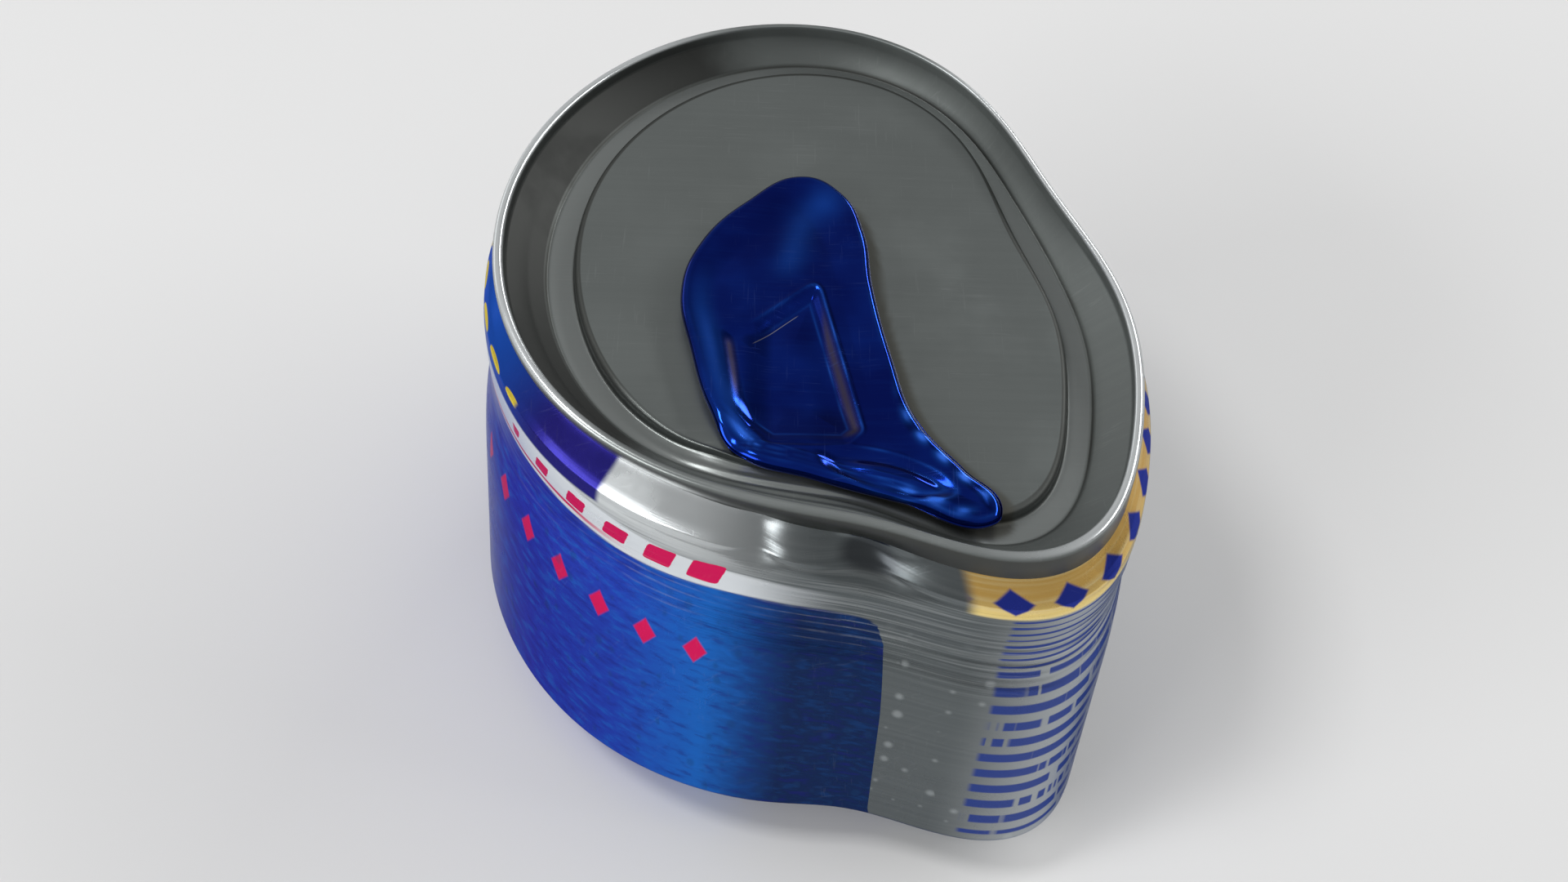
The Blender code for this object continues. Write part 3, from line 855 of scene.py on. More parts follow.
    # Printed dew: pale drops on the silver, dark ones on the blue
    dew = wired(tree, "ShaderNodeTexVoronoi", flat, None, 0.62, voronoi_dimensions="2D")
    cell = wired(tree, "ShaderNodeSeparateColor", dew.outputs["Color"]).outputs
    size = ramp(tree, cell[0], 0.35, 1.0, 0.0, 0.34)
    drop = between(tree, minus(tree, size, dew.outputs["Distance"]), 0.0, 0.22)
    drop = times(tree, drop, within(tree, height, 4.0, 21.0, 2.0))
    drop = times(tree, drop, minus(tree, 1.0, panel))
    on_silver = times(tree, times(tree, bare, 0.4), drop)
    on_blue = times(tree, times(tree, field, 0.35), drop)
    colour = mixed(tree, on_silver, colour, DEW_PALE)
    colour = mixed(tree, on_blue, colour, DEW_DARK)

    relief = times(tree, streak, 1.2)
    relief = times_plus(tree, drop, 0.25, relief)
    tree.links.new(colour, result["Colour"])
    tree.links.new(bare, result["Bare"])
    tree.links.new(relief, result["Relief"])
    return tree


def make_wall_finish():
    """Printed and lacquered aluminium: bare metal under clear lacquer, or ink on it."""
    finish, tree, shader, place = new_finish("printed_can_wall")
    map_place = wired(tree, "ShaderNodeUVMap", uv_map="UVMap").outputs[0]
    crease = stored(tree, "Crease")
    design = grouped(tree, make_print_and_light_group(), Map=map_place, Crease=crease)
    wear = grouped(tree, scuffs, Place=place, Scale=1.3, Scratches=0.08, Patches=0.6)

    # Ink rubbed thin on the folds, and greyed a little where it was handled
    rubbed = times(tree, between(tree, crease, -0.35, -0.95), wear["Patch"])
    rubbed = maths(tree, "MINIMUM", plus(tree, rubbed, times(tree, wear["Scratch"], 0.5)), 1.0)
    colour = mixed(tree, times(tree, rubbed, 0.6), design["Colour"], RUBBED_METAL)
    radius = stored(tree, "Radius")
    under = between(tree, radius, 23.4, 22.8)
    colour = mixed(tree, under, colour, UNDERSIDE_METAL)
    tree.links.new(colour, shader.inputs["Base Color"])
    metal = between(tree, maths(tree, "MAXIMUM", design["Bare"], under), 0.0, 1.0, 0.82, 1.0)
    tree.links.new(metal, shader.inputs["Metallic"])
    rough = between(tree, wear["Patch"], 0.0, 0.6, 0.22, 0.31)
    rough = times_plus(tree, wear["Scratch"], 0.12, rough)
    tree.links.new(rough, shader.inputs["Roughness"])
    shader.inputs["Specular Tint"].default_value = (0.35, 0.40, 0.62, 1.0)
    shader.inputs["Coat Weight"].default_value = 0.08
    shader.inputs["Coat Roughness"].default_value = 0.12
    relief = times_plus(tree, wear["Scratch"], -0.5, design["Relief"])
    emboss(tree, shader, relief, 0.35, 0.00006)
    return finish


printed_wall = make_wall_finish()

body = turned("can_shell", body_profile(), printed_wall, 40)
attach(body, "root")
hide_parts("can_body")


# The end: a disc of thin bare aluminium with a raised panel inside a sunk ring, its edge
# rolled with the body's lip into the double seam. It has no opening or score, and is bent
# with the rim into a teardrop and tilted.

PANEL_DEPTH = 2.2 * MM
SINK_BEND = 0.3 * MM
RIDGE_WIDTH = 0.85 * MM


def offset_line(points, distance):
    """The line moved sideways, to the right of its direction."""
    moved = []
    for index, (x, z) in enumerate(points):
        x0, z0 = points[max(index - 1, 0)]
        x1, z1 = points[min(index + 1, len(points) - 1)]
        length = math.hypot(x1 - x0, z1 - z0)
        moved.append((max(0.0, x + (z1 - z0) / length * distance), z - (x1 - x0) / length * distance))
    moved[0] = (0.0, moved[0][1])
    return moved


def end_profile():
    """The end's upper side out to the seam's foot, and back along its underside."""
    panel_top = RIM_HEIGHT - PANEL_DEPTH
    sink = RIM_HEIGHT - SINK_DEPTH
    foot = PANEL_RADIUS + PANEL_EDGE
    wall_foot = foot + SINK_WIDTH
    bend, ridge = SINK_BEND, RIDGE_WIDTH / 2
    panel = [(0, panel_top), (PANEL_RADIUS - 1.4 * MM, panel_top)]
    rings = panel[-1:] + arc(PANEL_RADIUS, panel_top - PANEL_EDGE, PANEL_EDGE, 90, 0, 10)
    rings += arc(foot + bend, sink + bend, bend, 180, 265, 6)
    rings += arc(wall_foot - bend, sink + bend, bend, 275, 318, 6)
    rings += [(SEAM_RADIUS - 2 * ridge, RIM_HEIGHT - 1.0 * MM)]
    rings += arc(SEAM_RADIUS - ridge, RIM_HEIGHT - ridge, ridge, 175, 0, 18)
    rings += [(SEAM_RADIUS, RIM_HEIGHT - SEAM_HEIGHT)]
    top = divided(panel, 0.45 * MM)[:-1] + divided(rings, 0.19 * MM)
    under = divided(panel, 3 * MM)[:-1] + divided(rings, 0.6 * MM)
    return top + offset_line(under, SHEET)[::-1]


END_METAL = (0.165, 0.182, 0.178)
END_PALE = (0.25, 0.27, 0.265)
END_CLOUD = (0.135, 0.147, 0.142)
# Painted shade for the rings' corners, the panel's edge, the seam's wall and the wall inside the rim
END_PAINTED_SHADE = (0.045, 0.047, 0.043)
# Rubbed metal for the scratches, and the rim crest's painted highlight
END_RUBBED_AND_HIGHLIGHT = (0.72, 0.75, 0.76)
# Painted light for the ring's floor
RING_FLOOR_PAINTED_LIGHT = (0.34, 0.36, 0.355)
# Painted shade for the left of the wall inside the rim
LEFT_WALL_PAINTED_SHADE = (0.030, 0.031, 0.029)
# Painted shadow of the tab on the end
TAB_SHADOW_PAINT = (0.085, 0.082, 0.066)

# Radii of the end's bends and levels on it, in millimetres as the end's finish reads them
PANEL_FOOT = (PANEL_RADIUS + PANEL_EDGE) / MM
WALL_FOOT = PANEL_FOOT + SINK_WIDTH / MM
RIM_TOP = RIM_HEIGHT / MM

# Bearings about the rim's middle: of the near side, the middle of the painted shade on the inner wall's left,
# and the far side
NEAR_SIDE = math.radians(-100)
LEFT_SHADE_MIDDLE = math.radians(172)
FAR_SIDE = math.radians(88)


def make_end_finish():
    """Rolled aluminium: fine level grain and handling marks, with painted shade in the rings, on the walls
    and beside the tab, painted light on the ring floor, and a painted highlight on the crest.
    """
    finish, tree, shader, place = new_finish("end_rolled_aluminium")
    radius = stored(tree, "Radius")
    level = wired(tree, "ShaderNodeUVMap", uv_map="UVMap").outputs[0]
    level = times(tree, wired(tree, "ShaderNodeSeparateXYZ", level).outputs[1], PRINT_HEIGHT)
    wear = grouped(tree, scuffs, Place=place, Scale=1.1, Scratches=0.12, Patches=1.0)

    # The sheet's rolling marks run one way over the whole disc
    rolled = wired(tree, "ShaderNodeMapping", place, None, (0.0, 0.0, 0.35), (60.0, 2600.0, 60.0)).outputs[0]
    grain = clouds(tree, rolled, 1.0, 3.0, 0.6)
    cloud = clouds(tree, place, 70.0, 4.0, 0.55)

    colour = mixed(tree, between(tree, grain, 0.3, 0.7, 0.0, 0.10), END_METAL, END_PALE)
    colour = mixed(tree, between(tree, cloud, 0.35, 0.7, 0.0, 0.22), colour, END_CLOUD)
    colour = mixed(tree, times(tree, wear["Scratch"], 0.35), colour, END_RUBBED_AND_HIGHLIGHT)

    from_middle = wired(tree, "ShaderNodeVectorMath", place, tuple(RIM_PLACE), operation="SUBTRACT")
    from_middle = wired(tree, "ShaderNodeSeparateXYZ", from_middle.outputs[0]).outputs
    bearing = maths(tree, "ARCTAN2", from_middle[1], from_middle[0])

    def bearing_from(middle):
        away = maths(tree, "WRAP", minus(tree, bearing, middle), math.pi, -math.pi)
        return maths(tree, "ABSOLUTE", away)

    from_front = bearing_from(NEAR_SIDE)
    away_from_front = between(tree, from_front, math.radians(28), math.radians(52), 0.15, 1.0)

    # Painted shade in the rings' corners, along the panel's edge and on the seam's outer wall, and painted
    # light on the ring's floor
    inner = within(tree, radius, PANEL_FOOT - 0.03, PANEL_FOOT + 0.25, 0.16)
    outer = within(tree, radius, WALL_FOOT - 0.25, WALL_FOOT + 0.1, 0.2)
    low = between(tree, level, RIM_TOP - 2.4, RIM_TOP - 2.7)
    corner_shade = times(tree, maths(tree, "MAXIMUM", inner, outer), low)
    corner_shade = times(tree, corner_shade, away_from_front)
    corner_shade = times(tree, corner_shade, between(tree, cloud, 0.25, 0.6, 0.6, 1.0))
    colour = mixed(tree, corner_shade, colour, END_PAINTED_SHADE)
    lit_ring_floor = within(tree, radius, PANEL_FOOT + 0.2, WALL_FOOT - 0.3, 0.2)
    colour = mixed(tree, times(tree, lit_ring_floor, 0.5), colour, RING_FLOOR_PAINTED_LIGHT)
    panel_edge_shade = within(tree, radius, PANEL_FOOT - 0.55, PANEL_FOOT - 0.01, 0.06)
    panel_edge_shade = times(tree, panel_edge_shade, away_from_front)
    colour = mixed(tree, times(tree, panel_edge_shade, 0.85), colour, END_PAINTED_SHADE)
    seam_wall_shade = between(tree, level, RIM_TOP - 0.15, RIM_TOP - 0.6)
    seam_wall_shade = times(tree, seam_wall_shade, between(tree, radius, 24.85, 25.05))
    colour = mixed(tree, times(tree, seam_wall_shade, 0.92), colour, END_PAINTED_SHADE)

    # The wall inside the rim is rougher and painted darker as painted shade, most of all on its left
    ragged = times_plus(tree, minus(tree, cloud, 0.5), 0.6, bearing_from(LEFT_SHADE_MIDDLE))
    left_wall_shade = between(tree, ragged, math.radians(72), math.radians(56))
    inside = within(tree, radius, WALL_FOOT + 0.05, WALL_FOOT + 3.1, 0.12)
    left_wall_shade = times(tree, left_wall_shade, inside)
    colour = mixed(tree, times(tree, inside, 0.22), colour, END_PAINTED_SHADE)
    colour = mixed(tree, times(tree, left_wall_shade, 0.92), colour, LEFT_WALL_PAINTED_SHADE)
    # The tab's painted shadow on the end
    colour = mixed(tree, times(tree, stored(tree, "Painted Tab Shadow"), 0.75), colour, TAB_SHADOW_PAINT)

    # The rim's crest carries a painted highlight and is smoother, apart from its near and far sides
    crest_highlight = times(tree, within(tree, level, RIM_TOP - 0.18, RIM_TOP + 0.8, 0.12), away_from_front)
    away_from_back = between(tree, bearing_from(FAR_SIDE), math.radians(12), math.radians(38), 0.1, 1.0)
    crest_highlight = times(tree, crest_highlight, away_from_back)
    colour = mixed(tree, times(tree, crest_highlight, 0.9), colour, END_RUBBED_AND_HIGHLIGHT)
    tree.links.new(colour, shader.inputs["Base Color"])
    shader.inputs["Metallic"].default_value = 0.72

    rough = between(tree, wear["Patch"], 0.0, 1.0, 0.30, 0.40)
    dull = corner_shade
    for part in (left_wall_shade, inside, panel_edge_shade):
        dull = maths(tree, "MAXIMUM", dull, part)
    rough = times_plus(tree, dull, 0.2, rough)
    rough = times_plus(tree, crest_highlight, -0.10, rough)
    tree.links.new(rough, shader.inputs["Roughness"])
    relief = times_plus(tree, wear["Scratch"], -0.6, grain)
    emboss(tree, shader, relief, 0.10, 0.00003)
    return finish


end = turned("can_lid", end_profile(), make_end_finish(), 60)
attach(end, "root")
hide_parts("can_end")


# The ring tab: one strip of blue-anodised aluminium, stamped with a sunk panel and an oval
# round its rivet, and curled over at its edge. The crush has pressed it down towards the
# panel and drawn its nose out to the right. Sizes here are in millimetres.

TAB_OUTLINE = [
    (-1.3, 9.4), (1.8, 7.6), (3.3, 3.8), (3.8, -1.5), (5.0, -8.0), (6.6, -13.4),
    (9.6, -17.3), (12.0, -20.2), (11.4, -21.6), (5.0, -20.1), (-1.0, -18.4),
    (-6.0, -16.6), (-8.0, -13.0), (-9.5, -7.8), (-10.4, -2.4), (-9.3, 1.9), (-5.8, 6.5),
]
TAB_MIDDLE = (-1.0, -10.0)
TAB_THICKNESS = 1.1
TAB_EDGE = 0.5
TAB_LIFT = 0.02
TAB_EDGE_STEPS = 600
RIM_RINGS = [0.0, 0.02, 0.05, 0.1, 0.16, 0.24, 0.34, 0.46, 0.6, 0.76, 0.94, 1.14, 1.36, 1.6]
INNER_RINGS = 112
RECESS_CORNERS = [
    (-7.5, -5.8), (-5.2, -5.4), (-0.3, -1.1), (2.7, -14.6),
    (1.6, -15.9), (-3.9, -16.1), (-5.6, -14.6), (-6.5, -12.2),
]
RECESS_ROUND = 0.8
RECESS_DEPTH = 0.6
RECESS_WALL = 1.0
RIVET_PLACE = (4.2, -18.1)
RIVET_TURN = -17
OVAL_REACH = (4.9, 1.7)
OVAL_DEPTH = 0.26
ISLAND_REACH = (3.4, 0.85)
ISLAND_SHIFT = 0.6
ISLAND_HEIGHT = 0.34
STRAND_PITCH = 0.42
CREASE_PLACE = (-5.7, -15.0)
CREASE_PITCH = 0.62
DISH_DEPTH = 0.2
NOSE_DROOP = 0.42
# How far the tab's painted shadow is moved from its outline
TAB_SHADOW_SHIFT = (0.95, 0.15)


def smooth_loop(corners, count):
    """Evenly spaced points of a closed smooth line through the corners."""
    curve = bpy.data.curves.new("loop", "CURVE")
    curve.resolution_u = 60
    spline = curve.splines.new("BEZIER")
    spline.bezier_points.add(len(corners) - 1)
    for corner, (x, y) in zip(spline.bezier_points, corners):
        corner.co = (x, y, 0)
        corner.handle_left_type = "AUTO"
        corner.handle_right_type = "AUTO"
    spline.use_cyclic_u = True
    maker = bpy.data.objects.new("loop", curve)
    bpy.context.scene.collection.objects.link(maker)
    graph = bpy.context.evaluated_depsgraph_get()
    line = bpy.data.meshes.new_from_object(maker.evaluated_get(graph))
    points = np.array([vertex.co.xy for vertex in line.vertices])
    bpy.data.objects.remove(maker)
    bpy.data.meshes.remove(line)
    return evenly(points, count)


def evenly(points, count):
    """As many points as asked, at equal steps along the closed line through these points."""
    closed = np.vstack([points, points[:1]])
    lengths = np.hypot(*np.diff(closed, axis=0).T)
    along = np.concatenate([[0], np.cumsum(lengths)])
    wanted = np.arange(count) / count * along[-1]
    return np.column_stack([np.interp(wanted, along, closed[:, 0]), np.interp(wanted, along, closed[:, 1])])


def round_corners(corners, radius):
    """A closed outline with its corners rounded, as points."""
    points = []
    for index, corner in enumerate(corners):
        here = Vector(corner)
        before = (Vector(corners[index - 1]) - here).normalized()
        after = (Vector(corners[(index + 1) % len(corners)]) - here).normalized()
        reach = radius / math.tan(before.angle(after) / 2)
        for step in range(9):
            share = step / 8
            start, end = here + before * reach, here + after * reach
            points.append(start * (1 - share) ** 2 + here * 2 * share * (1 - share) + end * share**2)
    return np.array([tuple(point) for point in points])


def depth_inside(line, places):
    """Each place's distance to a closed line of close points: positive inside, negative outside."""
    nearest = KDTree(len(line))
    for index, (x, y) in enumerate(line):
        nearest.insert((x, y, 0), index)
    nearest.balance()
    away = np.array([nearest.find((x, y, 0))[2] for x, y in places])
    x, y = places.T
    odd = np.zeros(len(places), bool)
    for (x0, y0), (x1, y1) in zip(line, np.roll(line, -1, axis=0)):
        if y0 != y1:
            odd ^= ((y0 > y) != (y1 > y)) & (x < x0 + (y - y0) * (x1 - x0) / (y1 - y0))
    return np.where(odd, away, -away)


def ease(value, start, end):
    """0 before the start and 1 after the end, with a smooth rise between them."""
    share = np.clip((value - start) / (end - start), 0, 1)
    return share * share * (3 - 2 * share)


def line_at(value, middle, reach):
    """1 where the value is at the middle, falling away over this reach on both sides."""
    return np.exp(-(((value - middle) / reach) ** 2))


def rivet_oval(x, y):
    """Depths inside the oval round the rivet and inside its island, and the places along them."""
    turn = math.radians(RIVET_TURN)
    along = (x - RIVET_PLACE[0]) * math.cos(turn) + (y - RIVET_PLACE[1]) * math.sin(turn)
    across = (y - RIVET_PLACE[1]) * math.cos(turn) - (x - RIVET_PLACE[0]) * math.sin(turn)
    outer = (1 - np.hypot(along / OVAL_REACH[0], across / OVAL_REACH[1])) * OVAL_REACH[1]
    island = 1 - np.hypot((along - ISLAND_SHIFT) / ISLAND_REACH[0], across / ISLAND_REACH[1])
    return outer, island * ISLAND_REACH[1], along


def front_strands(x, y):
    """Long strands that the front edge is drawn into, from -1 to 1, from the left corner on."""
    front = y + 16.6 + 0.287 * (x + 6)
    strands = np.cos(front * math.tau / STRAND_PITCH + 0.5 * np.sin(0.7 * x)) * line_at(front, 0.75, 0.5)
    return strands * ease(-x, -7.5, -4.0) * ease(x, -6.5, -4.0)


def corner_crease(x, y):
    """Distances across and along the creases at the crumpled left corner."""
    x, y = x - CREASE_PLACE[0], y - CREASE_PLACE[1]
    return x * 0.73 + y * 0.69, x * 0.69 - y * 0.73


def long_bow(x, y):
    """Distance across the slow bow that runs down the tab's far half."""
    return (x + 2.0) * 0.97 - (y - 2.0) * 0.24


def tab_relief(places, edge, sunk):
    """The tab's upper side over its own top plane, from depths inside its edge and its recess."""
    x, y = places.T
    roll = np.sqrt(1 - (1 - np.minimum(edge / TAB_EDGE, 1)) ** 2)
    height = -TAB_EDGE * (1 - roll)

    # The curled rim stands over a dished web, more so at the far end
    far = ease(y, -3, 7)
    height -= DISH_DEPTH * (1 + far) * ease(edge, 0.5, 2.6 + 1.4 * far)
    height += 0.03 * line_at(edge, 0.5, 0.22)

    # The sunk panel has sloped walls and a crowned floor, and runs out at its front and left
    height += 0.05 * line_at(sunk, -0.1, 0.16) * ease(x, -5.8, -4.4)
    shallow = 1 - 0.75 * ease(-x, 3.5, 6.0)
    height -= RECESS_DEPTH * shallow * ease(y, -16.4, -12.0) * ease(sunk, -0.05, RECESS_WALL)
    height += 0.09 * ease(sunk, RECESS_WALL, 3.2)
    left = ease(-x, 4.0, 6.5) * ease(-y, 3.0, 7.0)
    height += 0.07 * left * line_at(sunk, -0.55, 0.75)

    # The oval round the rivet, with the island that the rivet holds
    outer, island, _ = rivet_oval(x, y)
    height -= OVAL_DEPTH * ease(outer, -0.05, 0.5)
    height += 0.02 * line_at(outer, -0.1, 0.12)
    height += ISLAND_HEIGHT * ease(island, -0.1, 0.5)

    # The drawn front edge, and the dented and creased left corner
    height += 0.028 * front_strands(x, y)
    height -= 0.5 * np.exp(-((x + 6.5) ** 2 + (y + 15.8) ** 2) / 1.8)
    side, down = corner_crease(x, y)
    height += 0.045 * np.cos(side * math.tau / CREASE_PITCH) * line_at(side, 0, 0.8) * line_at(down, 0, 1.9)

    # The nose's curl is knocked here and there, and slow waves run over the whole strip
    rough = np.array([noise.noise((a * 0.42, b * 0.42, 3.7)) for a, b in places])
    fine = np.array([noise.noise((a * 1.3, b * 1.3, 8.1)) for a, b in places])
    nose = ease(x, 4.0, 7.5)
    height -= NOSE_DROOP * nose * (1 - np.minimum(edge / 1.7, 1)) ** 2
    height += nose * line_at(edge, 0.75, 0.6) * (0.24 * rough + 0.03 * fine)
    height += 0.05 * ease(edge, 0.5, 2) * np.sin(0.62 * x + 0.25 * y + 1) * np.cos(0.41 * y - 0.2 * x)
    height += 0.06 * line_at(long_bow(x, y), 0, 1.3) * ease(y, -2.5, 0.5) * ease(-y, -8.0, -5.0)
    return height


def wall_reflection_mask(places, sunk):
    """1 on the sunk panel's left and right walls, where a dark brown reflection is painted."""
    x, y = places.T
    right = ease(x, -0.2, 0.4) * ease(-y, 1.6, 3.0) * ease(y, -15.4, -14.6)
    left = ease(-x, 5.7, 6.3) * ease(-y, 6.4, 7.4) * ease(y, -12.6, -10.5)
    return line_at(sunk, RECESS_WALL / 2, 0.3) * (right + left)


def highlight_mask(places, edge, sunk):
    """How much painted highlight lies on the tab: 1 in lines along the bends, and less on the broad left
    margin.
    """
    x, y = places.T
    drawn = ease(y, -16.2, -14.0)
    # Noise breaks up the painted highlight lines
    worn = np.array([0.55 + 0.9 * noise.noise((a * 0.5, b * 0.5, 1.3)) for a, b in places])
    lines = (0.6 * line_at(sunk, -0.02, 0.10) + 0.5 * line_at(sunk, RECESS_WALL, 0.09)) * drawn
    lines *= 0.12 + 0.88 * ease(x, -5.5, -4.0)
    lines += 0.38 * line_at(edge, 0.42, 0.12) * (0.25 + 0.75 * ease(x, -4.0, 2.0))
    outer, island, along = rivet_oval(x, y)
    lines += 0.6 * line_at(outer, 0, 0.08) * ease(along, -3.5, 0.0)
    lines += 0.8 * line_at(island, 0, 0.10) * ease(along, -1.0, 2.0)
    lines += 0.6 * np.maximum(front_strands(x, y), 0)

    # Wide soft painted highlights: the left margin, the far end and the slow bow
    margin = line_at(edge, 1.5, 0.8) * ease(-x, 5.0, 6.6) * ease(y, -15.5, -13.5) * ease(-y, -1.0, 7.0)
    far = line_at(x, 0.4, 1.3) * line_at(y, 6.6, 1.6)
    bow = line_at(long_bow(x, y), 0, 1.1) * ease(y, -2.0, 1.0) * ease(-y, -8.0, -4.0)
    soft = 0.42 * margin + 0.3 * far + 0.3 * bow

    # Painted highlights: along the nose's curl, and where the left margin meets the crumpled corner
    down_nose = (x - 6.8) * 0.68 - (y + 14.8) * 0.73
    marks = line_at(edge, 0.8, 0.36) * ease(x, 4.6, 6.2) * ease(-down_nose, -7.2, -6.0)
    marks *= 0.52 + 0.48 * np.cos((down_nose - 0.2) * math.tau / 2.1)
    side, down = corner_crease(x, y)
    marks += 0.9 * line_at(side, 0, 0.34) * line_at(down, 0, 1.25)
    return np.clip(np.clip(worn, 0.2, 1.1) * lines + soft + marks, 0, 1)


def tab_mesh(name):
    """The tab as one closed skin: rings of points in from the outline, over and under it."""
    outline = smooth_loop(TAB_OUTLINE, TAB_EDGE_STEPS)
    middle = np.array(TAB_MIDDLE)
    reach = np.hypot(*(outline - middle).T)

    def rings(steps):
        """Rings of places from the edge in, without the middle."""
        shares = [np.full(TAB_EDGE_STEPS, 1.0) - inset / reach for inset in RIM_RINGS]
        for step in range(1, steps):
            shares.append(shares[len(RIM_RINGS) - 1] * (1 - step / steps))
        return np.array([middle + (outline - middle) * share[:, None] for share in shares])

    dense = evenly(outline, 6000)
    top = rings(INNER_RINGS)
    bottom = rings(10)
    top_places = np.vstack([top.reshape(-1, 2), middle])
    bottom_places = np.vstack([bottom.reshape(-1, 2), middle])
    edge = np.maximum(depth_inside(dense, top_places), 0)
    sunk = depth_inside(evenly(round_corners(RECESS_CORNERS, RECESS_ROUND), 1500), top_places)
    top_height = tab_relief(top_places, edge, sunk)
    roll = 1 - np.minimum(np.maximum(depth_inside(dense, bottom_places), 0) / TAB_EDGE, 1)
    bottom_height = -TAB_THICKNESS + TAB_EDGE * (1 - np.sqrt(1 - roll**2))

    places = np.vstack([top_places, bottom_places])
    heights = np.concatenate([top_height, bottom_height])
    seat = (RIM_HEIGHT - PANEL_DEPTH + SEAT_GAP) / MM + TAB_THICKNESS
    lie = places @ np.array(LID_SLOPE) + TAB_LIFT * (places[:, 1] - RIVET_PLACE[1])
    points = np.column_stack([places, heights + seat + lie]) * MM + np.array(RIM_PLACE)

    steps = TAB_EDGE_STEPS
    faces = []

    def cover(first, ring_count, upwards):
        for ring in range(ring_count - 1):
            for step in range(steps):
                here, after = first + ring * steps + step, first + ring * steps + (step + 1) % steps
                face = (here, after, after + steps, here + steps)
                faces.append(face if upwards else face[::-1])
        last, pole = first + (ring_count - 1) * steps, first + ring_count * steps
        for step in range(steps):
            face = (last + step, last + (step + 1) % steps, pole)
            faces.append(face if upwards else face[::-1])

    # The sign of the outline's area says which way it runs
    x, y = outline.T
    forwards = float(np.sum(x * np.roll(y, -1) - y * np.roll(x, -1))) > 0
    cover(0, len(top), forwards)
    cover(len(top_places), len(bottom), not forwards)
    for step in range(steps):
        low = len(top_places)
        face = (step, low + step, low + (step + 1) % steps, (step + 1) % steps)
        faces.append(face if forwards else face[::-1])
    mesh = bpy.data.meshes.new(name)
    mesh.from_pydata(points.tolist(), [], faces)
    mesh.shade_smooth()
    # The painted highlights and the painted reflection on the walls are kept on the upper points
    masks = {"Painted Wall Reflection": wall_reflection_mask(top_places, sunk), "Painted Highlights": highlight_mask(top_places, edge, sunk)}
    for label, mask in masks.items():
        values = np.concatenate([mask, np.zeros(len(bottom_places))])
        mesh.attributes.new(label, "FLOAT", "POINT").data.foreach_set("value", values.astype(np.float32))
    return mesh


TAB_BLUE = (0.004, 0.026, 0.27)
TAB_DEEP = (0.002, 0.010, 0.15)
# Painted highlight on the tab
TAB_HIGHLIGHT = (0.020, 0.17, 0.90)
# Painted dark brown reflection for the sunk panel's walls
TAB_WALL_REFLECTION = (0.055, 0.042, 0.048)
TAB_GRAIN = (0.006, 0.05, 0.40)
TAB_SCUFF = (0.10, 0.18, 0.55)
TAB_SCRATCH = (0.45, 0.45, 0.50)
SCRATCH_PLACE = (-1.75 * MM, -2.77 * MM, 0.0)
SCRATCH_TURN = (0.0, 0.0, math.radians(41.7))
SCRATCH_REACH = 2.1 * MM
SCRATCH_WIDTH = 0.03 * MM
SCRATCH_WANDER = 0.12 * MM


def make_tab_finish():
    """Blue-dyed anodised aluminium, glossy, with a fine drawn grain, scratches, painted highlights and a
    painted reflection on the sunk panel's walls.
    """
    finish, tree, shader, place = new_finish("tab_blue_anodised")
    wall_reflection = stored(tree, "Painted Wall Reflection")
    wear = grouped(tree, scuffs, Place=place, Scale=1.6, Scratches=0.4, Patches=1.0)
    drawn = wired(tree, "ShaderNodeMapping", place, None, (0.0, 0.0, 1.2), (150.0, 3200.0, 150.0)).outputs[0]
    grain = clouds(tree, drawn, 1.0, 2.0, 0.5)
    cloud = clouds(tree, place, 110.0, 3.0, 0.5)

    colour = mixed(tree, between(tree, cloud, 0.35, 0.65), TAB_BLUE, TAB_DEEP)
    colour = mixed(tree, between(tree, grain, 0.45, 0.8, 0.0, 0.10), colour, TAB_GRAIN)
    highlights = stored(tree, "Painted Highlights")
    # Painted highlights along the bends, in broad soft places and on the nose
    colour = mixed(tree, times(tree, highlights, 0.85), colour, TAB_HIGHLIGHT)
    # A painted dark reflection on the sunk panel's walls
    colour = mixed(tree, times(tree, wall_reflection, 0.8), colour, TAB_WALL_REFLECTION)
    colour = mixed(tree, times(tree, wear["Scratch"], 0.25), colour, TAB_SCUFF)

    # One long pale scratch across the sunk panel
    laid = wired(tree, "ShaderNodeMapping", place, SCRATCH_PLACE, SCRATCH_TURN, vector_type="TEXTURE")
    line = wired(tree, "ShaderNodeSeparateXYZ", laid.outputs[0]).outputs
    bend = clouds(tree, place, 260.0, 1.0, 0.5)
    off = times_plus(tree, minus(tree, bend, 0.5), SCRATCH_WANDER, line[1])
    scratch = within(tree, off, -SCRATCH_WIDTH, SCRATCH_WIDTH, 0.02 * MM)
    ends = within(tree, line[0], -SCRATCH_REACH, SCRATCH_REACH, 0.2 * MM)
    scratch = times(tree, scratch, ends)
    colour = mixed(tree, times(tree, scratch, 0.7), colour, TAB_SCRATCH)
    tree.links.new(colour, shader.inputs["Base Color"])
    # Less metallic where the highlights are painted, so they stay pale
    tree.links.new(between(tree, highlights, 0.25, 1.0, 1.0, 0.35), shader.inputs["Metallic"])

    rough = between(tree, wear["Patch"], 0.0, 1.0, 0.11, 0.19)
    rough = times_plus(tree, maths(tree, "MAXIMUM", wear["Scratch"], wall_reflection), 0.25, rough)
    rough = times_plus(tree, highlights, 0.12, rough)
    tree.links.new(rough, shader.inputs["Roughness"])
    relief = times_plus(tree, maths(tree, "MAXIMUM", wear["Scratch"], scratch), -0.8, grain)
    shader.inputs["Coat Weight"].default_value = 0.06
    shader.inputs["Coat Roughness"].default_value = 0.1
    emboss(tree, shader, relief, 0.05, 0.00003)
    return finish


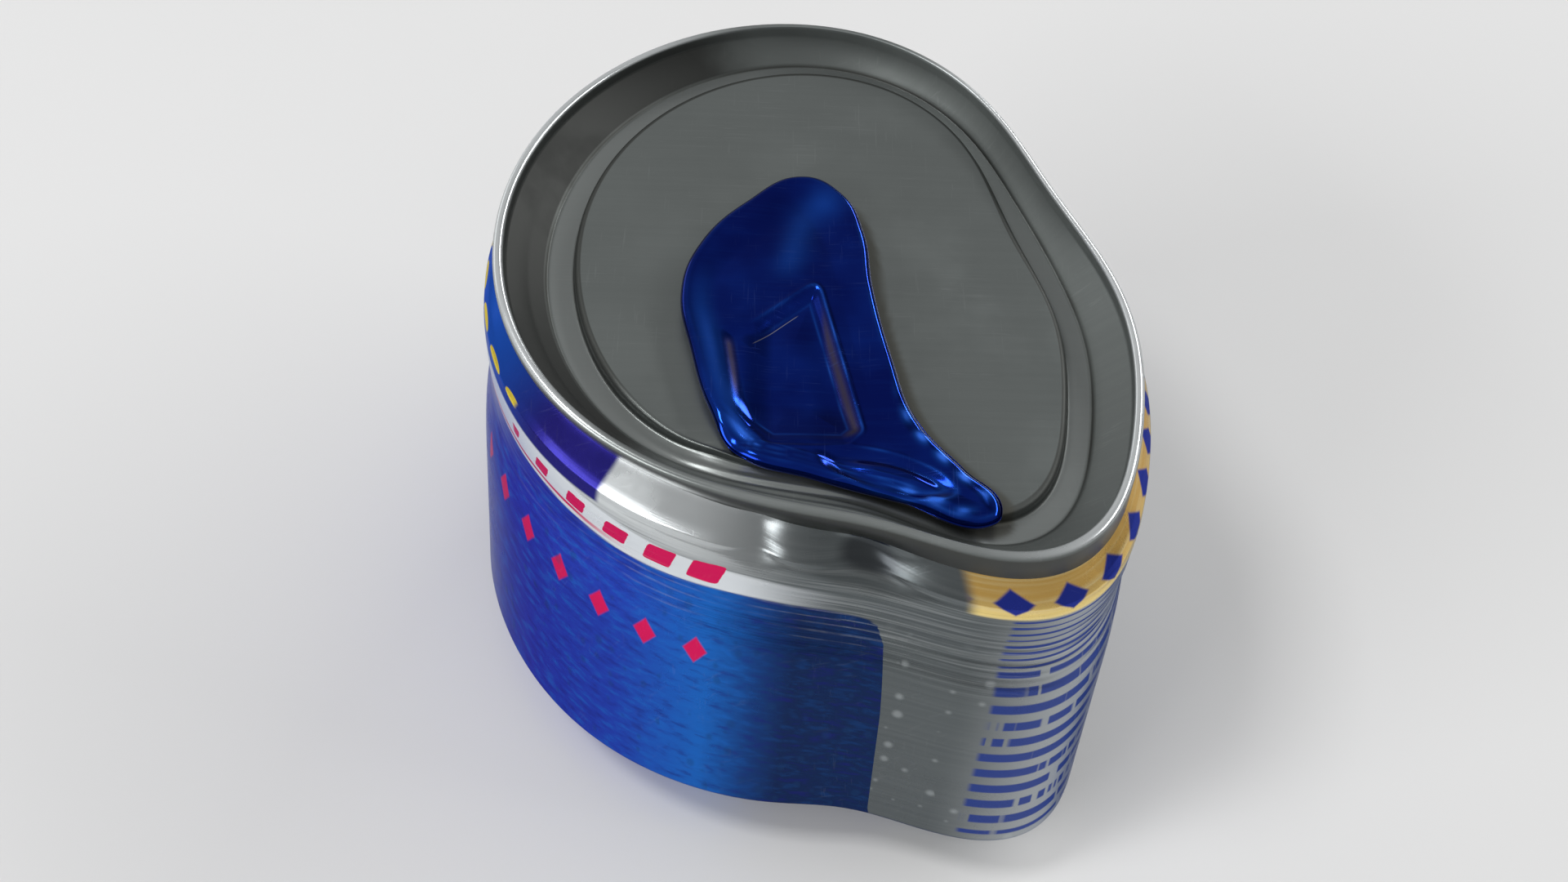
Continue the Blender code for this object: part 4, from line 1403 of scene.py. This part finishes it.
tab = bpy.data.objects.new("ring_tab", tab_mesh("ring_tab"))
bpy.context.scene.collection.objects.link(tab)
tab.data.materials.append(make_tab_finish())
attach(tab, "root")
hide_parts("pull_tab")

# A painted shadow of the tab lies on the end, in a band along the tab's right side
lid_places = np.empty(len(end.data.vertices) * 3)
end.data.vertices.foreach_get("co", lid_places)
lid_places = (lid_places.reshape(-1, 3)[:, :2] - np.array(RIM_PLACE)[:2]) / MM
tab_shadow_outline = evenly(smooth_loop(TAB_OUTLINE, TAB_EDGE_STEPS), 3000) + np.array(TAB_SHADOW_SHIFT)
tab_shadow = ease(depth_inside(tab_shadow_outline, lid_places), -0.26, 0.26)
end.data.attributes.new("Painted Tab Shadow", "FLOAT", "POINT").data.foreach_set("value", tab_shadow.astype(np.float32))


# The studio: a pale floor, a grey room, a low lamp, a small key lamp and a weak back lamp on
# the left, and a long strip on the right. The camera looks down at 50 degrees, as the
# photograph does.

BACKDROP_GREY = (0.72, 0.72, 0.72)
ROOM_GREY = (0.44, 0.44, 0.44)
ROOM_DARK = (0.10, 0.10, 0.10)
DARK_SIDE = (0.77, 0.62, 0.12)
CAMERA_PLACE = (-1.137 * MM, -85.909 * MM, 115.75 * MM)
CAMERA_TILT = 40
LENS_LENGTH = 37.79

bpy.ops.mesh.primitive_plane_add(size=3)
floor = bpy.context.object
floor.name = "studio_floor"
paper = bpy.data.materials.new("floor_paper")
paper.use_nodes = True
shader = paper.node_tree.nodes["Principled BSDF"]
shader.inputs["Base Color"].default_value = (*BACKDROP_GREY, 1)
shader.inputs["Roughness"].default_value = 0.9
floor.data.materials.append(paper)

room = bpy.data.worlds.new("grey_room")
bpy.context.scene.world = room
room.use_nodes = True
room_tree = room.node_tree
toward = room_tree.nodes.new("ShaderNodeTexCoord").outputs["Generated"]
to_dark_side = wired(room_tree, "ShaderNodeVectorMath", toward, DARK_SIDE, operation="DOT_PRODUCT")
dark = between(room_tree, to_dark_side.outputs["Value"], 0.45, 0.9)
grey = mixed(room_tree, dark, ROOM_GREY, ROOM_DARK)
seen = room_tree.nodes.new("ShaderNodeLightPath").outputs["Is Camera Ray"]
grey = mixed(room_tree, seen, grey, BACKDROP_GREY)
room_tree.links.new(grey, room_tree.nodes["Background"].inputs["Color"])


def soft_lamp(name, place, width, height, power):
    lamp = bpy.data.lights.new(name, "AREA")
    lamp.shape = "RECTANGLE"
    lamp.size = width
    lamp.size_y = height
    lamp.energy = power
    holder = bpy.data.objects.new(name, lamp)
    holder.location = place
    holder.rotation_euler = (Vector((0, 0, 0.02)) - Vector(place)).to_track_quat("-Z", "Y").to_euler()
    bpy.context.scene.collection.objects.link(holder)


soft_lamp("low_left_lamp", (-0.78, -0.46, 0.42), 0.7, 0.35, 4.6)
soft_lamp("key_lamp", (-0.45, 0.05, 0.80), 0.24, 0.24, 2.3)
soft_lamp("back_left_lamp", (-0.70, 0.62, 0.34), 0.5, 0.3, 0.4)
soft_lamp("right_strip", (0.72, 0.38, 0.50), 1.25, 0.12, 5.6)

lens = bpy.data.cameras.new("camera")
lens.sensor_width = 36
lens.lens = LENS_LENGTH
lens.clip_start = 0.001
camera = bpy.data.objects.new("camera", lens)
camera.location = CAMERA_PLACE
camera.rotation_euler = (math.radians(CAMERA_TILT), 0, 0)
bpy.context.scene.collection.objects.link(camera)
bpy.context.scene.camera = camera
bpy.context.scene.view_settings.view_transform = "Standard"
